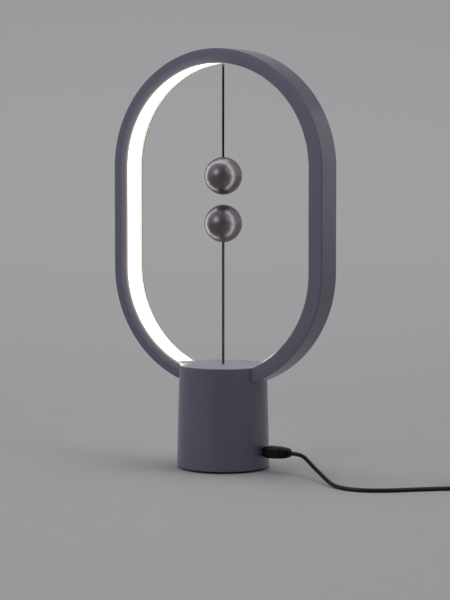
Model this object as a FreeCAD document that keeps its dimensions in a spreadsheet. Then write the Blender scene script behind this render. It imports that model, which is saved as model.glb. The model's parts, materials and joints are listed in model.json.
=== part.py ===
import FreeCAD, Part
import math
import os

import Sketcher

# Magnetic balance lamp: a glowing oval ring on a round base, with two magnetic balls on cords.
# Millimetres, +Z up, the ring in the XZ plane, the front towards -Y.  The origin is on the
# table under the middle of the base.  At rest the lamp is on: the lower ball floats under
# the upper one and its cord holds the switch plunger up.

os.makedirs("parts", exist_ok=True)
doc = FreeCAD.newDocument("BalanceLamp")
sheet = doc.addObject("Spreadsheet::Sheet", "Dimensions")

DIMENSIONS = (
    ("ring_width", 226.0, "outside width of the ring"),
    ("ring_top", 400.0, "height of the top of the ring"),
    ("ring_sink", 22.0, "lowest point of the ring under the top of the base"),
    ("ring_depth", 30.5, "front to back size of the ring"),
    ("rim_thickness", 14.5, "ring section between its outer and inner faces"),
    ("ring_wall", 1.6, "wall of the ring housing"),
    ("cover_thickness", 1.2, "plate of the ring's front cover"),
    ("cover_rib_depth", 3.0, "locating rib behind the front cover"),
    ("cover_rib_width", 1.2, "thickness of that rib"),
    ("diffuser_thickness", 1.8, "milky strip that lines the inside of the ring"),
    ("lining_recess", 1.0, "that strip, behind the inner edge of the front cover"),
    ("ring_seam", 0.12, "gap between the ring's shells"),
    ("ring_round", 0.9, "rounding of the ring's front and back edges"),
    ("strip_width", 10.0, "flexible board that carries the light chips"),
    ("strip_thickness", 0.4, "thickness of that board"),
    ("strip_gap_half", 45.0, "half the width of the unlit stretch inside the base"),
    ("chip_length", 3.5, "light chip along the strip"),
    ("chip_width", 2.8, "light chip across the strip"),
    ("chip_height", 0.8, "light chip thickness"),
    ("chip_pitch", 10.0, "distance from chip to chip"),
    ("chip_gap", 0.02, "gap between a chip and its board"),
    ("base_height", 99.0, "height of the base"),
    ("base_radius_top", 42.0, "base radius at its top"),
    ("base_radius_bottom", 44.5, "base radius at its lower edge"),
    ("shell_wall", 2.5, "side wall of the base"),
    ("top_wall", 2.5, "top wall of the base"),
    ("rim_round", 0.7, "rounding of the base's edges"),
    ("slot_clearance", 0.1, "gap round the ring where it enters the base"),
    ("cover_inset", 5.4, "slot cover, from the edge of the base to its ends"),
    ("foot_height", 2.0, "rubber pad under the base"),
    ("foot_inset", 3.5, "that pad, from the edge of the base"),
    ("foot_groove", 0.6, "depth of the groove under the pad"),
    ("foot_groove_inner", 25.4, "inner radius of that groove"),
    ("foot_groove_outer", 35.3, "outer radius of that groove"),
    ("plate_thickness", 2.6, "bottom plate"),
    ("plate_clearance", 0.3, "gap round the bottom plate"),
    ("boss_inset", 5.6, "bottom screws, from the edge of the base"),
    ("boss_radius", 3.5, "screw bosses of the base"),
    ("boss_height", 14.0, "length of the bottom screw bosses"),
    ("screw_radius", 1.5, "shank of the large screws"),
    ("screw_head_radius", 2.8, "head of the large screws"),
    ("screw_head_height", 1.8, "head height of the large screws"),
    ("screw_fit", 0.05, "gap round a screw in its pilot hole"),
    ("hole_fit", 0.2, "gap round a screw in a clearance hole"),
    ("hole_end", 2.0, "plastic left over the end of a bottom screw's pilot hole"),
    ("screw_end_gap", 1.0, "room past the tip of a large screw"),
    ("column_screw_reach", 10.0, "saddle screws above the saddle's flange"),
    ("ballast_fit", 0.9, "gap between the steel weight and the bottom screw bosses"),
    ("ballast_height", 9.0, "height of the weight"),
    ("ballast_bore", 6.0, "radius of the hole in the middle of the weight"),
    ("post_x", 18.0, "circuit board posts, left and right"),
    ("post_y", 12.0, "circuit board posts, front and back"),
    ("post_radius", 2.6, "circuit board posts"),
    ("board_rise", 2.0, "air gap under the circuit board"),
    ("board_left", 24.0, "circuit board, from the middle to its left edge"),
    ("board_setback", 5.2, "circuit board, behind the floor of the socket's recess"),
    ("board_half", 16.0, "circuit board, half its depth"),
    ("board_thickness", 1.6, "circuit board"),
    ("small_screw_radius", 1.1, "shank of the small screws"),
    ("small_head_radius", 2.1, "head of the small screws"),
    ("small_head_height", 1.4, "head height of the small screws"),
    ("small_screw_reach", 5.5, "bracket screws above the underside of the saddle"),
    ("small_hole_depth", 6.0, "pilot holes of the bracket screws"),
    ("head_room", 0.4, "gap between a small screw's head and a wall"),
    ("small_slot_half", 0.3, "slot of the board screws, half its width"),
    ("small_slot_depth", 0.6, "depth of that slot"),
    ("board_screw_end", 2.0, "tips of the board screws above the bottom plate"),
    ("socket_length", 7.2, "power socket along the plug"),
    ("socket_width", 7.6, "power socket across the plug"),
    ("socket_height", 2.6, "power socket thickness"),
    ("socket_wall", 0.25, "sheet of the power socket and of the plug's shell"),
    ("socket_fit", 0.17, "gap between the socket and the plug's shell"),
    ("tongue_thickness", 0.6, "tongue in the socket"),
    ("tongue_half_width", 1.9, "that tongue, half its width"),
    ("tongue_setback", 1.4, "that tongue, behind the mouth of the socket"),
    ("port_width", 18.2, "recess in the base round the socket"),
    ("port_height", 8.6, "height of that recess"),
    ("port_inset", 2.3, "floor of the recess, from the edge of the base"),
    ("port_slot_fit", 0.3, "gap round the socket in the floor of the recess"),
    ("saddle_depth", 15.0, "ring saddle, from its underside to the lowest point of the ring"),
    ("saddle_flange", 3.0, "flange of the saddle"),
    ("saddle_side", 14.0, "saddle's left and right edges, inside the base's top radius"),
    ("saddle_end", 16.0, "saddle's front and back edges, inside the base's top radius"),
    ("cradle_half_depth", 13.0, "saddle block under the ring, half its depth"),
    ("cradle_rise", 7.0, "ends of that block above the lowest point of the ring"),
    ("column_side", 4.0, "saddle screws, from the saddle's left and right edges"),
    ("column_end", 5.0, "saddle screws, from the saddle's front and back edges"),
    ("ring_screw_x", 20.5, "ring screws, left and right"),
    ("ring_boss_room", 4.7, "rim of the ring that its screw bosses leave free"),
    ("seat_gap", 0.1, "gap where one piece sits on another"),
    ("wire_radius", 0.7, "inner wires"),
    ("wire_x", 15.0, "light wires, left of the middle"),
    ("wire_y", 7.5, "light wires, behind the middle"),
    ("wire_spread", 1.0, "half the distance between two wires"),
    ("wire_hole", 2.4, "radius of the hole that the light wires pass"),
    ("wire_lead", 2.5, "light wires, inwards from the strip at their first turn"),
    ("wire_turn", 9.0, "light wires, from their drop to their first turn"),
    ("wire_drop", 6.0, "light wires, above the bottom of the ring at their last turn"),
    ("switch_wire_out", 4.0, "switch wires, from the microswitch to their drop"),
    ("connector_half_width", 2.5, "wire connectors, half their width"),
    ("connector_half_depth", 3.4, "switch connector, half its depth"),
    ("connector_front", 3.0, "light connector, in front of its wires"),
    ("connector_back", 1.9, "light connector, behind its wires"),
    ("connector_height", 5.0, "wire connectors"),
    ("tube_radius", 2.6, "guide tube of the lower cord"),
    ("tube_bore", 1.6, "bore of the guide tube"),
    ("tube_flange_radius", 3.2, "collar of the guide tube"),
    ("tube_flange_height", 0.8, "thickness of that collar"),
    ("tube_fit", 0.15, "gap round the guide tube"),
    ("stem_radius", 3.0, "stem of the switch plunger"),
    ("stem_fit", 0.3, "gap round the stem"),
    ("stem_guide", 6.0, "depth of the stem's guide in the saddle"),
    ("switch_travel", 3.0, "travel of the switch plunger"),
    ("stop_gap", 0.3, "gap left at each stop of the plunger"),
    ("plunger_flange_radius", 7.0, "collar of the plunger"),
    ("plunger_flange_height", 2.0, "thickness of that collar"),
    ("spring_length", 9.5, "length of the return spring with the lamp on"),
    ("spring_radius", 3.8, "middle radius of the return spring"),
    ("spring_wire", 0.3, "radius of the spring wire"),
    ("spring_pitch", 1.9, "rise of the spring per turn"),
    ("spring_room", 0.9, "gap round the spring in the bracket"),
    ("stem_tail", 16.4, "stem below the collar"),
    ("bracket_wall", 1.6, "sheet of the switch bracket"),
    ("bracket_height", 26.0, "height of the switch bracket"),
    ("bracket_left", 11.0, "switch bracket, from the stem to its back"),
    ("bracket_right", 23.0, "switch bracket, from the stem to its front end"),
    ("bracket_foot", 9.0, "lower arm of the switch bracket, right of the stem"),
    ("bracket_half_depth", 8.5, "switch bracket, half its depth"),
    ("bush_radius", 4.0, "lower guide bush of the stem"),
    ("bush_flange_radius", 5.5, "collar of that bush"),
    ("bush_end", 1.0, "bush below the bracket"),
    ("switch_left", 8.0, "microswitch, from the stem to its near side"),
    ("switch_length", 13.0, "microswitch length"),
    ("switch_half_depth", 3.0, "microswitch, half its depth"),
    ("switch_height", 6.5, "microswitch height"),
    ("lever_thickness", 0.3, "microswitch lever"),
    ("lever_half_width", 2.0, "microswitch lever, half its width"),
    ("lever_overlap", 1.4, "lever over the plunger's collar"),
    ("pivot_inset", 1.0, "lever's pivot, from the far side of the microswitch"),
    ("pivot_radius", 0.35, "pivot pin of the lever"),
    ("pivot_fit", 0.05, "gap round the pivot pin"),
    ("eye_radius", 0.75, "rolled eye of the lever"),
    ("ear_gap", 0.15, "gap between the lever and the ears that hold its pin"),
    ("button_radius", 0.8, "button of the microswitch"),
    ("terminal_length", 2.0, "terminals of the microswitch"),
    ("terminal_half_width", 0.4, "terminals, half their width"),
    ("terminal_rise", 2.0, "terminals above the underside of the microswitch"),
    ("terminal_thickness", 0.6, "terminals"),
    ("ball_diameter", 36.0, "both balls"),
    ("ball_wall", 2.2, "wall of the ball shells"),
    ("ball_seam", 0.1, "gap between the two shells of a ball"),
    ("lip_height", 1.2, "lip that locates the two shells"),
    ("lip_room", 0.2, "gap over the end of that lip"),
    ("lip_skin", 0.2, "least depth of that lip under the ball's surface"),
    ("upper_ball_height", 279.2, "height of the middle of the upper ball"),
    ("ball_gap", 9.4, "air gap between the balls with the lamp on"),
    ("magnet_radius", 8.0, "magnet in each ball"),
    ("magnet_height", 6.0, "thickness of the magnets"),
    ("magnet_fit", 0.1, "gap round a magnet"),
    ("holder_radius", 9.5, "magnet holder"),
    ("holder_flange", 1.5, "flange of the magnet holder"),
    ("holder_cap", 2.5, "wall of the holder that carries the cord"),
    ("knot_radius", 1.9, "knot that holds a cord in its ball"),
    ("knot_room", 3.2, "radius of the room for the knot"),
    ("upper_cord_radius", 1.1, "upper cord"),
    ("lower_cord_radius", 1.3, "lower cord"),
    ("cord_fit", 0.35, "gap round a cord in its hole"),
    ("bead_radius", 1.6, "swivel bead under the top of the ring"),
    ("bend_radius", 1.35, "limp spot of the lower cord over the base"),
    ("bend_rise", 4.2, "height of that spot over the base with the lamp on"),
    ("link_gap", 0.1, "gap between a cord and the bead it hangs on"),
    ("eyelet_radius", 2.1, "collar of the eyelet under the top of the ring"),
    ("eyelet_flange", 0.6, "thickness of that collar"),
    ("eyelet_barrel", 1.7, "barrel of the eyelet"),
    ("bridge_thickness", 1.0, "metal bridge that carries the upper cord"),
    ("bridge_half_width", 5.0, "half the width of that bridge"),
    ("bridge_ear", 4.0, "upturned ends of that bridge"),
    ("pin_head_radius", 2.4, "head of the hanger pin"),
    ("pin_head_height", 1.6, "height of that head"),
    ("plug_standoff", 2.2, "metal that shows between the socket and the plug's grip"),
    ("grip_length", 26.4, "grip of the small plug"),
    ("grip_width", 12.0, "width of that grip"),
    ("grip_height", 11.4, "height of that grip"),
    ("nose_width", 10.0, "width of the grip's nose"),
    ("nose_height", 8.4, "height of the grip's nose"),
    ("nose_length", 6.0, "length over which the nose widens"),
    ("heel_width", 10.4, "width of the grip's rear end"),
    ("heel_height", 9.6, "height of the grip's rear end"),
    ("heel_length", 8.0, "length over which the grip narrows to the rear"),
    ("relief_length", 2.6, "strain relief behind the grip"),
    ("relief_width", 6.2, "width of the strain relief"),
    ("relief_height", 5.8, "height of the strain relief"),
    ("plug_shell_length", 6.8, "metal shell of the small plug"),
    ("cable_radius", 1.9, "power cable"),
    ("coil_x", 257.9, "middle of the put-away coil of cable"),
    ("coil_y", 26.4, "middle of the put-away coil of cable"),
    ("coil_radius", 22.0, "middle radius of the coil"),
    ("coil_turns_wide", 3.0, "turns side by side"),
    ("coil_turns_high", 3.0, "turns on top of each other"),
    ("tie_thickness", 0.8, "band that ties the coil"),
    ("tie_half_width", 4.0, "half the width of that band"),
    ("tie_tail", 0.8, "extra thickness where that band overlaps itself"),
    ("host_length", 24.0, "grip of the large plug"),
    ("host_width", 15.6, "width of that grip"),
    ("host_height", 8.0, "height of that grip"),
    ("host_shell_length", 18.6, "metal shell of the large plug"),
    ("host_shell_width", 12.0, "width of that shell"),
    ("host_shell_height", 4.5, "height of that shell"),
    ("contact_length", 9.0, "contacts of the large plug"),
    ("contact_width", 1.0, "width of a contact"),
    ("contact_depth", 0.3, "depth of a contact's groove"),
    ("contact_inner", 1.25, "inner contacts, from the plug's middle"),
    ("contact_outer", 3.5, "outer contacts, from the plug's middle"),
)


class Length:
    """A size that knows its number and its formula in the sheet."""

    def __init__(self, number, formula):
        self.number = number
        self.formula = formula

    def __add__(self, other):
        other = length(other)
        return Length(self.number + other.number, f"({self.formula} + {other.formula})")

    def __sub__(self, other):
        other = length(other)
        return Length(self.number - other.number, f"({self.formula} - {other.formula})")

    def __mul__(self, other):
        other = length(other)
        return Length(self.number * other.number, f"({self.formula} * {other.formula})")

    def __truediv__(self, other):
        other = length(other)
        return Length(self.number / other.number, f"({self.formula} / {other.formula})")

    def __radd__(self, other):
        return length(other) + self

    def __rsub__(self, other):
        return length(other) - self

    def __rmul__(self, other):
        return length(other) * self

    def __neg__(self):
        return length(0) - self


class Sizes:
    """The sheet's cells as Length values, by name."""

    def __init__(self, rows):
        for row, (alias, number, meaning) in enumerate(rows, start=1):
            sheet.set(f"A{row}", alias)
            sheet.set(f"B{row}", str(number))
            sheet.set(f"C{row}", meaning)
            sheet.setAlias(f"B{row}", alias)
            setattr(self, alias, Length(number, f"Dimensions.{alias}"))


def length(value):
    """A plain number or a Length, as a Length."""
    if isinstance(value, Length):
        return value
    return Length(float(value), repr(float(value)))


def root(value):
    return Length(math.sqrt(value.number), f"sqrt({value.formula})")


size = Sizes(DIMENSIONS)
doc.recompute()

FRONT = -size.ring_depth / 2
BACK = size.ring_depth / 2
RING_OUTER = size.ring_width / 2
RING_INNER = RING_OUTER - size.rim_thickness
RING_BOTTOM = size.base_height - size.ring_sink
ARC_LOW = RING_BOTTOM + RING_OUTER
ARC_HIGH = size.ring_top - RING_OUTER
LINING_INSET = size.rim_thickness - size.lining_recess
RING_CEILING = size.ring_top - LINING_INSET
RING_BOSS_HEIGHT = size.rim_thickness - size.ring_boss_room
FOOT_RADIUS = size.base_radius_bottom - size.foot_inset
BOSS_CIRCLE = size.base_radius_bottom - size.boss_inset
BALLAST_RADIUS = BOSS_CIRCLE - size.boss_radius - size.ballast_fit
PORT_FLOOR = size.base_radius_bottom - size.port_inset
BOARD_RIGHT = PORT_FLOOR - size.board_setback
PLATE_TOP = size.foot_height + size.plate_thickness
BALLAST_TOP = PLATE_TOP + size.ballast_height
BOARD_BOTTOM = BALLAST_TOP + size.board_rise
BOARD_TOP = BOARD_BOTTOM + size.board_thickness
CONNECTOR_TOP = BOARD_TOP + size.connector_height
PORT_HEIGHT = BOARD_TOP + size.socket_height / 2
PLUG_START = PORT_FLOOR + size.plug_standoff
SADDLE_FLOOR = RING_BOTTOM - size.saddle_depth
SADDLE_TOP = SADDLE_FLOOR + size.saddle_flange
SADDLE_HALF_WIDTH = size.base_radius_top - size.saddle_side
SADDLE_HALF_DEPTH = size.base_radius_top - size.saddle_end
COLUMN_X = SADDLE_HALF_WIDTH - size.column_side
COLUMN_Y = SADDLE_HALF_DEPTH - size.column_end
TUBE_BOTTOM = SADDLE_FLOOR + size.stem_guide
STEM_TOP = TUBE_BOTTOM - size.stop_gap
FLANGE_TOP = SADDLE_FLOOR - size.stop_gap - size.spring_length - size.stop_gap
FLANGE_BOTTOM = FLANGE_TOP - size.plunger_flange_height
STEM_BOTTOM = FLANGE_BOTTOM - size.stem_tail
BRACKET_BOTTOM = SADDLE_FLOOR - size.bracket_height
LEVER_BOTTOM = FLANGE_TOP + size.stop_gap
LEVER_TOP = LEVER_BOTTOM + size.lever_thickness
SWITCH_TOP = SADDLE_FLOOR - size.bracket_wall - size.seat_gap
SWITCH_BOTTOM = SWITCH_TOP - size.switch_height
BALL_RADIUS = size.ball_diameter / 2
BALL_ROOM = BALL_RADIUS - size.ball_wall
LOWER_BALL_HEIGHT = size.upper_ball_height - size.ball_diameter - size.ball_gap
UPPER_PIVOT = RING_CEILING - size.eyelet_flange - size.link_gap * 2 - size.bead_radius
LOWER_PIVOT = size.base_height + size.bend_rise
GRIP_END = PLUG_START + size.grip_length
RELIEF_END = GRIP_END + size.relief_length

XY = "XY_Plane"
XZ = "XZ_Plane"
YZ = "YZ_Plane"
ALONG_X = FreeCAD.Vector(1, 0, 0)
ALONG_Y = FreeCAD.Vector(0, 1, 0)
ALONG_Z = FreeCAD.Vector(0, 0, 1)
SIDES = (-1, 1)
PAST = 1.0  # how far a tool or a post runs past the face that it meets
LEAST_BEND = 10  # tightest bend of the power cable, in cable radii
RUN_SHARE = 0.45  # share of a straight run that the rounding at each of its ends may take
SLOT_REACH = 0.6  # cross slot of a screw, half its length in head radii
SLOT_HALF = 0.12  # cross slot of a screw, half its width in head radii
GRIP_CORNER = 0.2  # cut corners of the small plug, in heights
COIL_CORNER = 0.8  # cut corners of the coil's section, in cable radii
NEAR = 0.01  # two heights that differ less than this are the same

# Box-shaped parts on the circuit board: name, low corner, high corner, height.
BOARD_BLOCKS = (
    ("driver_chip", (4, -12), (10, -7), 1.6),
    ("choke", (-4, 5), (3, 12), 3.8),
    ("diode", (24, -12), (28.5, -9.4), 2),
)

# Round parts on the circuit board: name, middle, radius, height.
BOARD_CANS = (
    ("smoothing_capacitor", (-8, -9), 2.5, 6),
    ("input_capacitor", (29.5, 9.5), 2, 5),
)

nodes = []


# ---------------------------------------------------------------- helpers

def bind(feature, prop, value):
    """Tie a property to the sheet."""
    feature.setExpression(prop, length(value).formula)


def keep(feature, label):
    """Name a finished piece and put it on the list of nodes."""
    feature.Label = label
    nodes.append(feature)
    return feature


def move(feature, place):
    for name, value in zip("xyz", place):
        bind(feature, f"Placement.Base.{name}", value)


def new_body(name):
    return doc.addObject("PartDesign::Body", name)


def sketch_on(body, role, height=0):
    """A sketch on one of the body's own planes, raised along the plane's normal."""
    plane = next(item for item in body.Origin.OriginFeatures if item.Role == role)
    sketch = body.newObject("Sketcher::SketchObject", body.Name + "_sketch")
    sketch.AttachmentSupport = [(plane, "")]
    sketch.MapMode = "FlatFace"
    bind(sketch, "AttachmentOffset.Base.z", height)
    return sketch


def pin(sketch, curve, end, x, y):
    """Hold a point of a curve at a distance from the sketch's origin."""
    for kind, value in (("DistanceX", length(x)), ("DistanceY", length(y))):
        held = Sketcher.Constraint(kind, -1, 1, curve, end, value.number)
        index = sketch.addConstraint(held)
        sketch.setExpression(f"Constraints[{index}]", value.formula)


def hold_radius(sketch, curve, radius):
    index = sketch.addConstraint(Sketcher.Constraint("Radius", curve, length(radius).number))
    sketch.setExpression(f"Constraints[{index}]", length(radius).formula)


def point(x, y):
    return FreeCAD.Vector(length(x).number, length(y).number, 0)


def polygon(sketch, corners):
    """A closed outline with straight sides."""
    first = sketch.GeometryCount
    spots = [point(x, y) for x, y in corners]
    for start, end in zip(spots, spots[1:] + spots[:1]):
        sketch.addGeometry(Part.LineSegment(start, end))
    for index, (x, y) in enumerate(corners):
        before = first + (index - 1) % len(corners)
        sketch.addConstraint(Sketcher.Constraint("Coincident", before, 2, first + index, 1))
        pin(sketch, first + index, 1, x, y)


def rectangle(sketch, low, high):
    polygon(sketch, [low, (high[0], low[1]), high, (low[0], high[1])])


def circle(sketch, x, y, radius):
    curve = sketch.addGeometry(Part.Circle(point(x, y), ALONG_Z, length(radius).number))
    pin(sketch, curve, 3, x, y)
    hold_radius(sketch, curve, radius)


def capsule(sketch, first_centre, second_centre, radius, start_angle):
    """Two half circles joined by straight sides; start_angle is where the second one begins."""
    reach = length(radius).number
    quarter = math.radians(start_angle)
    centres = (point(*second_centre), point(*first_centre))
    arcs = []
    for centre, begin in zip(centres, (quarter, quarter + math.pi)):
        round_end = Part.ArcOfCircle(Part.Circle(centre, ALONG_Z, reach), begin, begin + math.pi)
        arcs.append(sketch.addGeometry(round_end))
    edge = FreeCAD.Vector(math.cos(quarter) * reach, math.sin(quarter) * reach, 0)
    sides = [
        sketch.addGeometry(Part.LineSegment(centres[0] - edge, centres[1] - edge)),
        sketch.addGeometry(Part.LineSegment(centres[1] + edge, centres[0] + edge)),
    ]
    for arc, side, other in ((0, 0, 1), (1, 1, 0)):
        sketch.addConstraint(Sketcher.Constraint("Tangent", arcs[arc], 2, sides[side], 1))
        sketch.addConstraint(Sketcher.Constraint("Tangent", sides[other], 2, arcs[arc], 1))
    pin(sketch, arcs[0], 3, *second_centre)
    pin(sketch, arcs[1], 3, *first_centre)
    for arc in arcs:
        hold_radius(sketch, arc, radius)


def ring_outline(sketch, inset):
    """The ring's oval, moved inwards by an inset."""
    capsule(sketch, (0, ARC_LOW), (0, ARC_HIGH), RING_OUTER - inset, 0)


def pad(body, sketch, height, upside_down=False):
    feature = body.newObject("PartDesign::Pad", body.Name + "_pad")
    feature.Profile = sketch
    feature.Reversed = upside_down
    bind(feature, "Length", height)
    return feature


def pocket(body, sketch, depth, upwards=False):
    """Cut against the sketch's normal, or along it."""
    feature = body.newObject("PartDesign::Pocket", body.Name + "_pocket")
    feature.Profile = sketch
    feature.Reversed = upwards
    bind(feature, "Length", depth)
    return feature


def revolve(body, outline):
    """Turn an outline of radius and height pairs about Z."""
    sketch = sketch_on(body, XZ)
    polygon(sketch, outline)
    feature = body.newObject("PartDesign::Revolution", body.Name + "_turned")
    feature.Profile = sketch
    feature.ReferenceAxis = (sketch, ["V_Axis"])
    feature.Angle = 360
    return feature


def turned(label, outline, place=(0, 0, 0)):
    """A turned piece, from an outline of radius and height pairs."""
    body = new_body(label)
    revolve(body, outline)
    move(body, place)
    return body


def round_edges(body, tip, radius, wanted):
    """Fillet the edges of a feature that a test picks out."""
    doc.recompute()
    names = [f"Edge{number}" for number, edge in enumerate(tip.Shape.Edges, 1) if wanted(edge)]
    feature = body.newObject("PartDesign::Fillet", body.Name + "_round")
    feature.Base = (tip, names)
    bind(feature, "Radius", radius)
    return feature


def ring_slab(body, outside, inside, front, back):
    """Pad the ring between two insets and two depths."""
    sketch = sketch_on(body, XZ, -length(back))
    ring_outline(sketch, outside)
    ring_outline(sketch, inside)
    return pad(body, sketch, back - front)


def lies_at_depth(edge, depth):
    """Whether an edge lies flat at one depth of the ring."""
    room = edge.BoundBox
    return room.YLength < NEAR and abs(room.YMin - depth.number) < NEAR


def ring_groove(body, outside, inside, front, back):
    """Cut the ring between two insets and two depths."""
    sketch = sketch_on(body, XZ, -length(front))
    ring_outline(sketch, outside)
    ring_outline(sketch, inside)
    return pocket(body, sketch, back - front)


def drill_up(body, spots, radius, start, depth):
    """Round holes that run upwards from a height."""
    sketch = sketch_on(body, XY, start)
    for x, y in spots:
        circle(sketch, x, y, radius)
    return pocket(body, sketch, depth, upwards=True)


def raise_posts(body, spots, radius, start, height):
    """Round posts that stand on a height."""
    sketch = sketch_on(body, XY, start)
    for x, y in spots:
        circle(sketch, x, y, radius)
    return pad(body, sketch, height)


def box(name, low, high):
    item = doc.addObject("Part::Box", name)
    for prop, start, end in zip(("Length", "Width", "Height"), low, high):
        bind(item, prop, length(end) - start)
    move(item, low)
    return item


def cylinder(name, radius, start, height, axis=ALONG_Z):
    item = doc.addObject("Part::Cylinder", name)
    bind(item, "Radius", radius)
    bind(item, "Height", height)
    item.Placement.Rotation = FreeCAD.Rotation(ALONG_Z, axis)
    move(item, start)
    return item


def sphere(name, radius, centre, low_angle=-90, high_angle=90):
    item = doc.addObject("Part::Sphere", name)
    bind(item, "Radius", radius)
    item.Angle1 = low_angle
    item.Angle2 = high_angle
    move(item, centre)
    return item


def join(name, *pieces):
    item = doc.addObject("Part::MultiFuse", name)
    item.Shapes = list(pieces)
    return item


def cut(name, base, *tools):
    item = doc.addObject("Part::Cut", name)
    item.Base = base
    item.Tool = tools[0] if len(tools) == 1 else join(name + "_tools", *tools)
    return item


def overlap(name, first, second):
    item = doc.addObject("Part::Common", name)
    item.Base = first
    item.Tool = second
    return item


def group(label, pieces):
    """Like pieces that share one node, each a solid of its own."""
    item = doc.addObject("Part::Compound", label)
    item.Links = list(pieces)
    return keep(item, label)


def shape_node(label, shape):
    """A node whose shape is made in code."""
    item = doc.addObject("Part::Feature", label)
    item.Shape = shape
    return keep(item, label)


def corners(x, y):
    return [(side * x, end * y) for side in SIDES for end in SIDES]


def screw(name, x, y, head_start, shank_end, radius, head_radius, head_height):
    """A screw with its head below and its tip above."""
    head = cylinder(name + "_head", head_radius, (x, y, head_start), head_height)
    neck = length(head_start) + head_height
    shank = cylinder(name + "_shank", radius, (x, y, neck), shank_end - neck)
    body = join(name + "_body", head, shank)
    slot_depth = head_height / 2
    reach = head_radius * SLOT_REACH
    half = head_radius * SLOT_HALF
    slots = [
        box(name + "_slot_a", (x - reach, y - half, head_start),
            (x + reach, y + half, head_start + slot_depth)),
        box(name + "_slot_b", (x - half, y - reach, head_start),
            (x + half, y + reach, head_start + slot_depth)),
    ]
    return cut(name, body, *slots)


def rounded_path(points, least):
    """Straight runs joined by arcs that are as large as the runs allow."""
    spots = [FreeCAD.Vector(*spot) for spot in points]
    edges = []
    radii = []
    last = spots[0]
    for before, here, after in zip(spots, spots[1:], spots[2:]):
        run_in = here - before
        run_out = after - here
        half_turn = run_in.getAngle(run_out) / 2
        setback = RUN_SHARE * min(run_in.Length, run_out.Length)
        radii.append(setback / math.tan(half_turn))
        into = run_in.normalize()
        out = run_out.normalize()
        start = here - into * setback
        end = here + out * setback
        bisector = (out - into).normalize()
        middle = here + bisector * (radii[-1] * (1 / math.cos(half_turn) - 1))
        edges.append(Part.LineSegment(last, start).toShape())
        edges.append(Part.Arc(start, middle, end).toShape())
        last = end
    edges.append(Part.LineSegment(last, spots[-1]).toShape())
    if min(radii) < least:
        print("tight bend:", round(min(radii), 1), "under", least)
    return Part.Wire(edges), radii


def tube_along(points, radius, least):
    """A round cord along a route, with its radii printed and its volume compared."""
    path, radii = rounded_path(points, least)
    first = FreeCAD.Vector(*points[0])
    heading = FreeCAD.Vector(*points[1]) - first
    section = Part.Wire([Part.Circle(first, heading, radius).toShape()])
    tube = path.makePipeShell([section], True, True)
    wanted = math.pi * radius ** 2 * path.Length
    print("radii", [round(value, 1) for value in radii], "length", round(path.Length, 1),
          "volume share", round(tube.Volume / wanted, 4))
    return tube


# ---------------------------------------------------------------- ring

def ring_housing():
    """Back and outer wall of the ring, with its holes and screw bosses inside the base."""
    body = new_body("ring_housing")
    front = FRONT + size.cover_thickness + size.ring_seam
    ring_slab(body, 0, LINING_INSET, front, BACK)
    tip = ring_groove(body, size.ring_wall, LINING_INSET + PAST, front, BACK - size.ring_wall)
    round_edges(body, tip, size.ring_round, lambda edge: lies_at_depth(edge, BACK))
    wall_middle = RING_OUTER - size.ring_wall / 2
    boss_start = ARC_LOW - root(wall_middle * wall_middle - size.ring_screw_x * size.ring_screw_x)
    bosses = [(side * size.ring_screw_x, 0) for side in SIDES]
    raise_posts(body, bosses, size.boss_radius, boss_start, RING_BOSS_HEIGHT)
    below = RING_BOTTOM - PAST
    drill_up(body, bosses, size.screw_radius + size.screw_fit, below, RING_BOSS_HEIGHT)
    reach = size.rim_thickness - size.ring_wall
    drill_up(body, [(0, 0)], size.tube_radius + size.tube_fit, below, reach)
    drill_up(body, [(-size.wire_x, size.wire_y)], size.wire_hole, below, reach)
    keep(body, "ring_housing")


def ring_front_cover():
    """Front plate of the ring with the rib that locates it in the housing."""
    body = new_body("ring_front_cover")
    plate_back = FRONT + size.cover_thickness
    ring_slab(body, 0, size.rim_thickness, FRONT, plate_back)
    rib_outside = size.ring_wall + size.ring_seam
    rib_inside = rib_outside + size.cover_rib_width
    tip = ring_slab(body, rib_outside, rib_inside, plate_back, plate_back + size.cover_rib_depth)

    round_edges(body, tip, size.ring_round, lambda edge: lies_at_depth(edge, FRONT))
    keep(body, "ring_front_cover")


def light_diffuser():
    """Milky strip round the inside of the ring, with holes for the two cords."""
    body = new_body("light_diffuser")
    front = FRONT + size.cover_thickness + size.ring_seam
    back = BACK - size.ring_wall - size.ring_seam
    ring_slab(body, LINING_INSET - size.diffuser_thickness, LINING_INSET, front, back)
    below = RING_BOTTOM + size.ring_wall
    drill_up(body, [(0, 0)], size.tube_radius + size.tube_fit, below, size.rim_thickness)
    barrel_hole = size.eyelet_barrel + size.tube_fit
    drill_up(body, [(0, 0)], barrel_hole, RING_CEILING - PAST,
             size.diffuser_thickness + PAST * 2)
    keep(body, "light_diffuser")


def led_strip():
    """Flexible board inside the outer wall, open where the ring is inside the base."""
    body = new_body("led_strip")
    outside = size.ring_wall + size.seat_gap
    half = size.strip_width / 2
    ring_slab(body, outside, outside + size.strip_thickness, -half, half)
    sketch = sketch_on(body, XZ, half + PAST)
    rectangle(sketch, (-size.strip_gap_half, RING_BOTTOM), (size.strip_gap_half, ARC_LOW))
    pocket(body, sketch, size.strip_width + PAST * 2)
    keep(body, "led_strip")


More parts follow.
